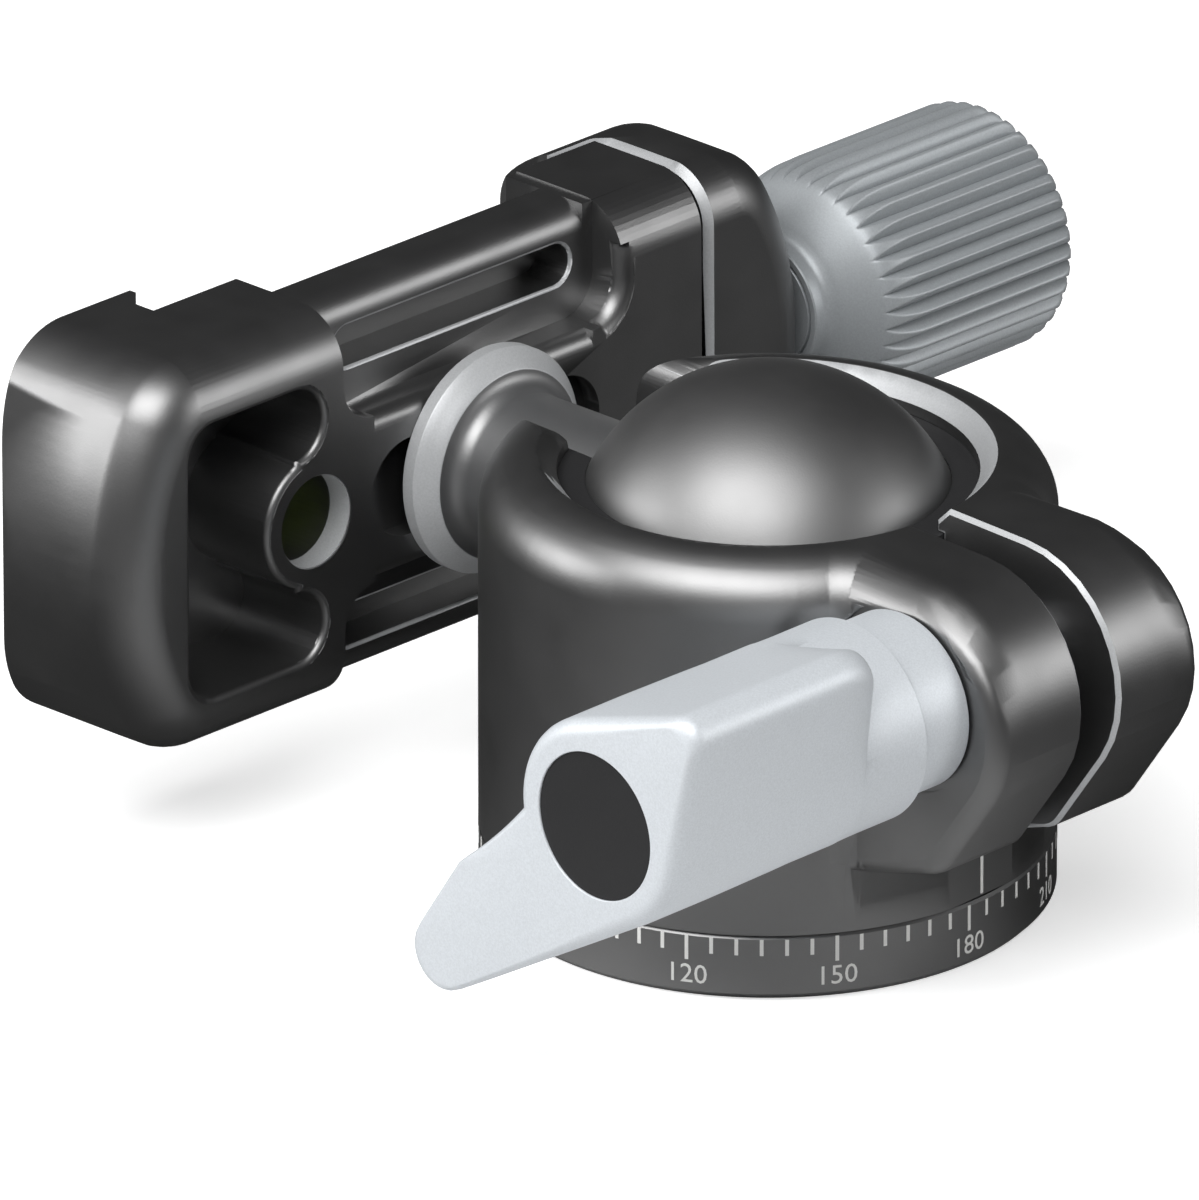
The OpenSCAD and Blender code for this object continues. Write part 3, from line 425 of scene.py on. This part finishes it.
numbers = bmesh.new()
for reading in range(0, 360, 30):
    numbers.from_mesh(wrapped_number(str(reading), math.radians(reading) + scale_turn))
number_mesh = bpy.data.meshes.new("degree_numbers")
numbers.to_mesh(number_mesh)
numbers.free()
number_mesh.materials.append(white_print)
degree_numbers = placed("degree_numbers", number_mesh)
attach(degree_numbers, "base")


# Index mark
# One white line, printed on the small flat at the foot of the housing, just
# over the scale. It turns with the housing.
index_depth, index_w, index_h = 0.04 * MM, 0.27 * MM, 3.4 * MM
index_angle, index_r, index_z = math.radians(2.9), 19.76 * MM, 6.75 * MM
index_place = Matrix.Rotation(index_angle, 4, "Z") @ Matrix.Translation((index_r, 0, index_z))
index_size = Matrix.Diagonal((index_depth, index_w, index_h, 1))
index_shape = bmesh.new()
bmesh.ops.create_cube(index_shape, size=1, matrix=index_place @ index_size)
index_mesh = bpy.data.meshes.new("index_mark")
index_shape.to_mesh(index_mesh)
index_shape.free()
index_mesh.materials.append(white_print)
index_mark = placed("index_mark", index_mesh)
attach(index_mark, "housing")


# Housing
# The split body that grips the ball, turned and milled from one block, with
# a soft rim. The mouth and the slot have their edges cut bright.
slot_half_w, slot_start_x, slot_near, slot_chamfer = 1.7 * MM, 12 * MM, 0.02 * MM, 0.3 * MM
mouth_in_r, mouth_out_r, mouth_foot, mouth_lean, notch_x = 14.4, 16.0, 31, 0.3, -8


def slot_edge(middle):
    return middle.x > slot_start_x and abs(abs(middle.y) - slot_half_w) < slot_near


def mouth_cut(middle, normal):
    x, y, z = middle / MM
    out = (normal.x * x + normal.y * y) / max(math.hypot(x, y), 0.001)
    on_mouth = mouth_in_r < math.hypot(x, y) < mouth_out_r and z > mouth_foot
    return on_mouth and out < -mouth_lean and normal.z > mouth_lean and (x > notch_x or y > 0)


finished("housing", "housing", "black_anodised", [black_anodised, bright_cut],
         breaks=[(slot_edge, slot_chamfer)], cuts=mouth_cut)


# Seat liner
# The dark plastic ring that holds the ball down. It is pressed into the
# housing, and only its lip shows, in the mouth.
liner_plastic = metal("liner_plastic", (0.02, 0.02, 0.021), 0.5)
finished("seat_liner", "housing", "liner_plastic", [liner_plastic])


# Ball
# A turned aluminium ball, black anodised with a satin skin. It sits between
# the liner and the cup.
ball_black = metal("ball_black", (0.0035, 0.0035, 0.0038), 0.48, ior=2.8)
finished("ball", "ball", "black_anodised", [ball_black])


# Neck
# The turned neck, in dark grey anodised aluminium, with a bright flange ring
# that the clamp is screwed against.

# The neck's frame starts at the ball's centre. X is up, Y runs along the clamp and Z
# out along the neck, as it hangs a little out of level.
ball_z, neck_yaw, neck_droop, neck_roll = 24.2 * MM, 0.65, -1.4, -1.1
neck_frame = (
    Matrix.Translation((0, 0, ball_z))
    @ Matrix.Rotation(math.radians(neck_yaw), 4, "Z")
    @ Matrix.Rotation(math.radians(neck_droop), 4, "Y")
    @ Matrix.Rotation(math.radians(neck_roll), 4, "X")
    @ Matrix.Rotation(math.radians(-90), 4, "Y")
)
to_neck = neck_frame.inverted()
flange_start, flange_in_r = 24.85, 6.85


def flange_cut(middle, normal):
    along = to_neck @ middle / MM
    return along.z > flange_start and math.hypot(along.x, along.y) > flange_in_r


dark_grey = metal("dark_grey_anodised", (0.06, 0.061, 0.063), 0.42, ior=2.7)
finished("stem", "clamp", "grey_anodised", [dark_grey, bright_cut], edge=0.06 * MM, cuts=flange_cut)


# Clamp body
# The milled clamp that lies on its side, with its fixed jaw, its pocket and
# its slots. The outer edges are tumbled soft and the slots' edges are cut.
clamp_foot, clamp_middle, clamp_half_w, face_near = 27.3, 34.4, 14.4, 0.1
pocket_start_y, pocket_half_w = -14.5, 11
level_y, level_land_r = -16.65, 4
rail_slot_foot, rail_slot_in_w, rail_slot_out_w = 30.3, 8.8, 12.1
recess_start_y, recess_end_y, recess_in_w, recess_out_w = 12, 14.2, 6.5, 14.2


def on_clamp(rule):
    """A rule in the clamp's own millimetres: up across it, along it and out from the neck."""
    return lambda middle: rule(*(to_neck @ middle / MM))


def solid_from(name, points, faces, material_index=0):
    """A closed solid from points and faces, with its faces turned outwards."""
    mesh = bpy.data.meshes.new(name)
    mesh.from_pydata(points, [], faces)
    for face in mesh.polygons:
        face.material_index = material_index
    solid = bmesh.new()
    solid.from_mesh(mesh)
    bmesh.ops.remove_doubles(solid, verts=solid.verts, dist=1e-7)
    bmesh.ops.recalc_face_normals(solid, faces=solid.faces)
    solid.to_mesh(mesh)
    solid.free()
    return placed(name, mesh)


def soft_end(end, facing, back, both):
    """A solid with the clamp end's bulged face and round corners, and its edges rounded at the underside
    or at both sides. It is a little loose, so that it trims nothing but the corners."""
    foot_r, corner_r, corner_w, bulge_r, loose = 4.0, 6.0, 8.4, 22.88, 0.012
    straight_h, steps = 3.1, 12
    bulge_y = end - facing * bulge_r
    corner_y = bulge_y + facing * math.sqrt((bulge_r - corner_r) ** 2 - corner_w ** 2)
    bulge_turn = math.asin(corner_w / (bulge_r - corner_r))
    rings = []
    for k in range(-steps, steps + 1):
        lean = math.radians(90 * abs(k) / steps) if k < 0 or both else 0
        inset = foot_r * (1 - math.cos(lean)) - loose
        lift = math.copysign(straight_h + foot_r * math.sin(lean) + loose, k) if lean else k
        along = clamp_middle + lift
        ring = []
        for way in np.linspace(-math.pi / 2, math.pi / 2, 181):
            w, y = math.sin(way), math.cos(way)
            if abs(way) < bulge_turn:
                ring.append(((bulge_r - inset) * w, bulge_y + facing * (bulge_r - inset) * y, along))
            else:
                ring.append((math.copysign(corner_w, w) + (corner_r - inset) * w,
                             corner_y + facing * (corner_r - inset) * y, along))
        ring += [(clamp_half_w - inset, back, along), (inset - clamp_half_w, back, along)]
        rings.append(ring)
    count = len(rings[0])
    points = [neck_frame @ (Vector(point) * MM) for ring in rings for point in ring]
    faces = [
        (k * count + i, k * count + (i + 1) % count, (k + 1) * count + (i + 1) % count, (k + 1) * count + i)
        for k in range(len(rings) - 1) for i in range(count)
    ]
    faces.append(tuple(range(count - 1, -1, -1)))
    faces.append(tuple(range((len(rings) - 1) * count, len(rings) * count)))
    return solid_from("soft_end", points, faces)


def edge_rows(node, rule):
    """The node's picked edges as rows of points in the clamp's millimetres, each with whether it closes."""
    shape = own_shape(node)
    shape.verts.ensure_lookup_table()
    links = {}
    for line in picked(shape, rule):
        one, other = line.verts
        links.setdefault(one.index, []).append(other.index)
        links.setdefault(other.index, []).append(one.index)
    places = {i: to_neck @ shape.verts[i].co / MM for i in links}
    shape.free()
    rows = []
    while links:
        start = min((i for i in links if len(links[i]) == 1), default=min(links))
        closed = len(links[start]) == 2
        chain = [start]
        while True:
            onward = [i for i in links[chain[-1]] if i not in chain[-2:-1]]
            if not onward or onward[0] in chain:
                break
            chain.append(onward[0])
        for i in chain:
            links.pop(i)
        rows.append(([places[i] for i in chain], closed))
    return rows


def edge_cutter(rule, radius, steps, material_index, lead=None):
    """A solid swept along the clamp body's edges that the rule picks, which leaves them rounded. A closed
    row is cut on its outer side and an open one on the side of lead, and other rows are left alone."""
    over, back = -0.06, -0.3
    arc = [math.pi / 2 * k / steps for k in range(steps + 1)]
    section = [(back, over), (radius, over)]
    section += [(radius - radius * math.sin(turn), radius - radius * math.cos(turn)) for turn in arc]
    section.append((back, radius))
    size = len(section)
    points, faces = [], []
    for row, closed in edge_rows("clamp_body", rule):
        if not closed and (lead is None or len(row) < 3):
            continue
        if not closed:
            row = [row[0] * 2 - row[1], *row, row[-1] * 2 - row[-2]]
        count, base = len(row), len(points)
        area = sum(one.x * two.y - two.x * one.y for one, two in zip(row, row[1:] + row[:1]))
        for i, place in enumerate(row):
            before = row[i - 1] if closed or i else place
            after = row[(i + 1) % count] if closed or i < count - 1 else place
            sides = [Vector((way.y, -way.x)).normalized()
                     for way in ((place - before).xy, (after - place).xy) if way.length > 1e-6]
            out = (sides[0] + sides[-1]).normalized()
            out *= 1 / max(0.5, out.dot(sides[0]))
            if (area < 0) if closed else (out.dot(lead) < 0):
                out = -out
            points += [neck_frame @ (Vector((place.x + out.x * o, place.y + out.y * o, place.z + z)) * MM)
                       for o, z in section]
        for i in range(count if closed else count - 1):
            here, there = base + i * size, base + (i + 1) % count * size
            faces += [(here + j, there + j, there + (j + 1) % size, here + (j + 1) % size) for j in range(size)]
        if not closed:
            faces.append(tuple(range(base, base + size)))
            faces.append(tuple(range(base + count * size - 1, base + (count - 1) * size - 1, -1)))
    return solid_from("edge_cutter", points, faces, material_index)


def pocket_rim(w, y, l):
    in_pocket = y < pocket_start_y and abs(w) < pocket_half_w
    return in_pocket and l < clamp_foot + face_near and math.hypot(w, y - level_y) > level_land_r


def slot_rim(w, y, l):
    return rail_slot_in_w < abs(w) < rail_slot_out_w and abs(l - rail_slot_foot) < face_near


def recess_rim(w, y, l):
    in_recess = recess_start_y < y < recess_end_y and recess_in_w < abs(w) < recess_out_w
    return in_recess and l < clamp_foot + face_near


finished(
    "clamp_body", "clamp", "black_anodised", [black_anodised, bright_cut],
    within=soft_end(end=-35.4, facing=-1, back=30, both=False),
    cutters=[
        edge_cutter(on_clamp(pocket_rim), radius=0.45, steps=6, material_index=0),
        edge_cutter(on_clamp(slot_rim), radius=0.22, steps=2, material_index=1),
        edge_cutter(on_clamp(recess_rim), radius=1.2, steps=8, material_index=0, lead=Vector((0, 1))),
    ],
)


# Level hole
# The turned lip of the hole for the spirit level, beside the pocket. It is
# part of the clamp body, cut bright after anodising.
lip_in_r, lip_out_r, lip_foot, lip_top, lip_turns = 3.33, 3.425, 27.45, 29.3, 96
lip_section = [(lip_in_r, lip_foot), (lip_out_r, lip_foot), (lip_out_r, lip_top), (lip_in_r, lip_top)]
lip_place = neck_frame @ Matrix.Translation((0, level_y * MM, 0))
lip_angles = [math.tau * i / lip_turns for i in range(lip_turns)]
lip_points = [
    lip_place @ Vector((r * MM * math.cos(angle), r * MM * math.sin(angle), z * MM))
    for angle in lip_angles for r, z in lip_section
]
lip_faces = [
    (i * 4 + j, (i + 1) % lip_turns * 4 + j, (i + 1) % lip_turns * 4 + (j + 1) % 4, i * 4 + (j + 1) % 4)
    for i in range(lip_turns) for j in range(4)
]
lip_mesh = bpy.data.meshes.new("level_lip")
lip_mesh.from_pydata(lip_points, [], lip_faces)
lip_mesh.materials.append(bright_cut)
level_lip = placed("level_lip", lip_mesh)
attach(level_lip, "clamp")


# Moving jaw
# The jaw that the knob pulls in, milled and anodised like the clamp body,
# with a bright chamfer all round its inner edge.
jaw_pin_w, jaw_pin_l, jaw_pin_land = 10.4, 31.3, 3.2
jaw_side_w, jaw_foot_l, jaw_face_y, jaw_lip_l, jaw_chamfer = 13.3, 28.0, 22.4, 38, 0.55 * MM


def jaw_rim(w, y, l):
    off_pins = math.hypot(abs(w) - jaw_pin_w, l - jaw_pin_l) > jaw_pin_land
    return y < jaw_face_y and l < jaw_lip_l and (abs(w) > jaw_side_w or l < jaw_foot_l or off_pins)


finished("moving_jaw", "jaw", "black_anodised", [black_anodised, bright_cut],
         breaks=[(on_clamp(jaw_rim), jaw_chamfer)], within=soft_end(end=33.2, facing=1, back=10, both=True))


# Knob
# A fluted aluminium knob, grey anodised. Forty grooves leave ribs that start
# in points on its cone and run out at the soft back edge.
screw_h, knob_front, crisp_angle = 5.2, 33.25, math.radians(40)
screw_frame = (
    neck_frame
    @ Matrix.Translation((0, 0, (clamp_foot + screw_h) * MM))
    @ Matrix.Rotation(math.radians(-90), 4, "X")
)
knob_line = [
    (2.53, 14.0), (2.53, 0.0), (4.1, 0.0), (4.15, 0.06), (4.15, 0.30), (4.35, 0.30), (4.35, 0.06),
    (4.4, 0.0), (4.8, 0.0), (4.9, 0.1), (4.9, 0.85), (5.0, 1.12), (5.25, 1.38), (5.6, 1.62), (6.0, 1.9),
    (7.5, 3.1), (7.9, 3.43), (8.15, 3.66), (8.3, 3.85), (8.42, 4.05), (8.53, 4.3), (8.64, 4.6),
    (8.73, 4.95), (8.81, 5.35), (8.88, 5.8), (8.94, 6.3), (8.98, 6.9), (9.0, 7.6), (9.0, 20.8),
    (8.96, 21.2), (8.85, 21.55), (8.65, 21.83), (8.4, 22.0), (8.0, 22.1), (0.6, 22.1),
]
knob_turns, knob_rows = 640, len(knob_line)
knob_points, knob_faces = [], []
for i in range(knob_turns):
    turn = math.tau * i / knob_turns
    knob_points += [(r * MM * math.cos(turn), r * MM * math.sin(turn), z * MM) for r, z in knob_line]
    here, there = i * knob_rows, (i + 1) % knob_turns * knob_rows
    knob_faces += [(here + j, there + j, there + j + 1, here + j + 1) for j in range(knob_rows - 1)]
knob_faces.append([i * knob_rows for i in range(knob_turns)][::-1])
knob_faces.append([i * knob_rows + knob_rows - 1 for i in range(knob_turns)])
knob_mesh = bpy.data.meshes.new("knob_fluted")
knob_mesh.from_pydata(knob_points, [], knob_faces)

rib_rules = {"Ribs": 40, "Radius": 9.03 * MM, "Depth": 0.85 * MM, "Sharpness": 1.25}
ribs_tree = rule_tree("knob_ribs", rib_rules)
rn, rl = ribs_tree.nodes, ribs_tree.links
r_in, r_out = rn.new("NodeGroupInput"), rn.new("NodeGroupOutput")
r_split = rn.new("ShaderNodeSeparateXYZ")
rl.new(rn.new("GeometryNodeInputPosition").outputs[0], r_split.inputs[0])
r_x, r_y, r_z = r_split.outputs
r_turn = math_node(ribs_tree, "DIVIDE", math_node(ribs_tree, "ARCTAN2", r_y, r_x), math.tau)
r_wave = math_node(ribs_tree, "MULTIPLY", r_turn, r_in.outputs["Ribs"])
r_tri = math_node(ribs_tree, "MULTIPLY", math_node(ribs_tree, "PINGPONG", r_wave, 0.5), 2.0)
r_deep = math_node(ribs_tree, "POWER", r_tri, r_in.outputs["Sharpness"])
r_cut = math_node(ribs_tree, "MULTIPLY", r_deep, r_in.outputs["Depth"])
r_limit = math_node(ribs_tree, "SUBTRACT", r_in.outputs["Radius"], r_cut)
r_squares = [math_node(ribs_tree, "MULTIPLY", side, side) for side in (r_x, r_y)]
r_reach = math_node(ribs_tree, "SQRT", math_node(ribs_tree, "ADD", *r_squares))
r_share = math_node(ribs_tree, "DIVIDE", math_node(ribs_tree, "MINIMUM", r_reach, r_limit), r_reach)
r_where = rn.new("ShaderNodeCombineXYZ")
rl.new(math_node(ribs_tree, "MULTIPLY", r_x, r_share), r_where.inputs["X"])
rl.new(math_node(ribs_tree, "MULTIPLY", r_y, r_share), r_where.inputs["Y"])
rl.new(r_z, r_where.inputs["Z"])
r_set = rn.new("GeometryNodeSetPosition")
rl.new(r_in.outputs["Geometry"], r_set.inputs["Geometry"])
rl.new(r_where.outputs[0], r_set.inputs["Position"])
r_finish = rn.new("GeometryNodeSetMaterial")
rl.new(r_set.outputs["Geometry"], r_finish.inputs["Geometry"])
rl.new(r_in.outputs["Finish"], r_finish.inputs["Material"])
rl.new(r_finish.outputs["Geometry"], r_out.inputs["Geometry"])

knob_grey = metal("grey_anodised", (0.33, 0.35, 0.365), 0.45, metallic=0.3)
knob_fluted = by_rule("knob_fluted", knob_mesh, ribs_tree, {**rib_rules, "Finish": knob_grey},
                      "knob", "grey_anodised", "knob")
knob_fluted.data.transform(screw_frame @ Matrix.Translation((0, 0, knob_front * MM)))
knob_fluted.data.shade_smooth()
knob_fluted.data.set_sharp_from_angle(angle=crisp_angle)


# Lever
# The silver handle, a blasted and clear anodised casting with a thumb blade
# and a squared corner, and the pale collar that it turns against.
silver_anodised = metal("silver_anodised", (0.58, 0.61, 0.64), 0.48, metallic=0.2, grain_depth=0.000006)
lever_x, lever_z = 23 * MM, 24.4 * MM
lever_frame = Matrix.Translation((lever_x, 0, lever_z)) @ Matrix.Rotation(math.radians(90), 4, "X")
hub_start, handle_end = 14.95, 39.95
hub_r, corner_reach, corner_r, corner_turn = 7.5, 13.4, 1.8, 48
blade_turn, blade_reach, tip_r, blade_t, edge_r = 224, 21.2, 2.7, 4.6, 1.2
scoop_r, scoop_along, scoop_across = 38, 10.6, -42.1
screw_r, cap_r, cap_mouth_r, cap_sink, cap_edge = 4.0, 5.33, 5.38, 1.1, 0.05
root_r, root_h, root_steps = 2.0, 2.1, 12
shoulder_l, waist_l, corner_fall, end_hub_r = 10.4, 6.3, 2.6, 7.38
turned_r, hub_edge, bore_r = 7.3, 0.2, 4.3
grazing, no_limit = 0.02, 1e3
turns = np.radians(np.arange(0, 360, 1.0))
facings = np.radians(np.arange(0, 360, 0.5))
around = len(turns)


def outline(circles):
    """Radii of the hull of some circles (x, y, radius), in every direction from the axis."""
    reach = np.max([x * np.cos(facings) + y * np.sin(facings) + r for x, y, r in circles], axis=0)
    lean = np.cos(turns[:, None] - facings[None, :])
    return np.min(np.where(lean > grazing, reach[None, :] / np.maximum(lean, grazing), no_limit), axis=1)


def polar(reach, angle):
    return reach * math.cos(math.radians(angle)), reach * math.sin(math.radians(angle))


def prism(hub, reach):
    """The hub's round outline with its squared corner."""
    return outline([(0, 0, hub), (*polar(reach - corner_r, corner_turn), corner_r)])


def ring(radius):
    return np.full(around, radius)


def quarter(steps):
    """Sine and cosine at equal steps over a quarter turn."""
    return [(math.sin(math.pi / 2 * k / steps), math.cos(math.pi / 2 * k / steps)) for k in range(steps + 1)]


# The blade narrows behind the hub along the arc of a large circle.
tongue = outline([(0, 0, hub_r), (*polar(blade_reach, blade_turn), tip_r)])
way_x, way_y = polar(1, blade_turn)
scoop_x, scoop_y = scoop_along * way_x - scoop_across * way_y, scoop_along * way_y + scoop_across * way_x
toward_scoop = scoop_x * np.cos(turns) + scoop_y * np.sin(turns)
inside = toward_scoop ** 2 - (scoop_x ** 2 + scoop_y ** 2 - scoop_r ** 2)
scooped = np.where((inside > 0) & (toward_scoop > 0), toward_scoop - np.sqrt(np.maximum(inside, 0)), no_limit)
barrel = prism(hub_r, corner_reach)
front = np.maximum(barrel, np.minimum(tongue, scooped))

# Rows of radii from the cap's recess over the front and the blade to the hub.
blade_back = handle_end - blade_t
rows = [(ring(screw_r), handle_end - cap_sink), (ring(cap_r), handle_end - cap_sink),
        (ring(cap_r), handle_end - cap_edge), (ring(cap_mouth_r), handle_end)]
rows += [(front - edge_r * (1 - sine), handle_end - edge_r * (1 - cosine)) for sine, cosine in quarter(8)]
rows += [(np.maximum(barrel, front - edge_r * (1 - cosine)), blade_back + edge_r * (1 - sine))
         for sine, cosine in quarter(8)]
rim = np.maximum(barrel, front - edge_r)
for step in range(1, root_steps + 1):
    radii = barrel + (rim - barrel) * (1 - step / root_steps) ** 1.5
    hollow = np.maximum(0, root_r - (radii - barrel))
    drop = root_r - np.sqrt(root_r ** 2 - hollow ** 2)
    rows.append((radii, blade_back - np.maximum(drop, 0.002 * step)))
shoulder, prism_end = hub_start + shoulder_l, hub_start + waist_l
prism_start = blade_back - root_h
for share in (0.25, 0.5, 0.75):
    rows.append((prism(hub_r - 0.1 * share, corner_reach), prism_start + (shoulder - prism_start) * share))
rows += [(prism(end_hub_r, corner_reach - corner_fall * (1 - cosine)), shoulder - (shoulder - prism_end) * sine)
         for sine, cosine in quarter(10)]
rows += [(ring(turned_r + 0.04), prism_end - 0.25), (ring(turned_r), prism_end - 2.0),
         (ring(turned_r), hub_start + hub_edge), (ring(turned_r - hub_edge), hub_start),
         (ring(bore_r), hub_start)]
handle_points = [
    lever_frame @ Vector((radius * MM * math.cos(turn), radius * MM * math.sin(turn), z * MM))
    for radii, height in rows
    for radius, turn, z in zip(radii, turns, np.broadcast_to(height, radii.shape))
]
handle_faces = [
    (k * around + i, (k + 1) * around + i, (k + 1) * around + (i + 1) % around, k * around + (i + 1) % around)
    for k in range(len(rows) - 1) for i in range(around)
]
handle_faces.append(tuple(range(around)))
handle_faces.append(tuple(range(len(rows) * around - 1, (len(rows) - 1) * around - 1, -1)))
handle_mesh = bpy.data.meshes.new("lever_cast")
handle_mesh.from_pydata(handle_points, [], handle_faces)
handle_mesh.materials.append(silver_anodised)
shape = bmesh.new()
shape.from_mesh(handle_mesh)
bmesh.ops.remove_doubles(shape, verts=shape.verts, dist=1e-6)
bmesh.ops.recalc_face_normals(shape, faces=shape.faces)
shape.to_mesh(handle_mesh)
shape.free()
handle_mesh.shade_smooth()
handle_mesh.set_sharp_from_angle(angle=crisp_angle)
lever_cast = placed("lever_cast", handle_mesh)
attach(lever_cast, "lever")
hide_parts("lever_handle")
finished("thrust_collar", "lever", "silver_anodised", [silver_anodised], edge=0.2 * MM)
black_plastic = metal("black_plastic", (0.012, 0.012, 0.013), 0.55)
finished("lever_cap", "lever", "black_plastic", [black_plastic])


# Inner pieces
# Steel screws, spindle and pins, plastic seats and the clear level. They
# keep their own shapes, and only take their finish here.
steel = metal("steel", (0.50, 0.50, 0.51), 0.30, metallic=1.0)
dark_steel = metal("dark_steel", (0.05, 0.05, 0.053), 0.35, metallic=0.8)
level_liquid = metal("level_liquid", (0.45, 0.6, 0.1), 0.1, grain_depth=0)
finishes = {
    "steel": steel, "dark_steel": dark_steel, "liner_plastic": liner_plastic, "level_liquid": level_liquid,
    "black_anodised": black_anodised, "silver_anodised": silver_anodised, "grey_anodised": knob_grey,
    "black_plastic": black_plastic,
}
for part in frame["record"]["subparts"]:
    mesh = frame["nodes"][part["node"]].data
    mesh.materials.clear()
    mesh.materials.append(finishes[part["material_slot"]])
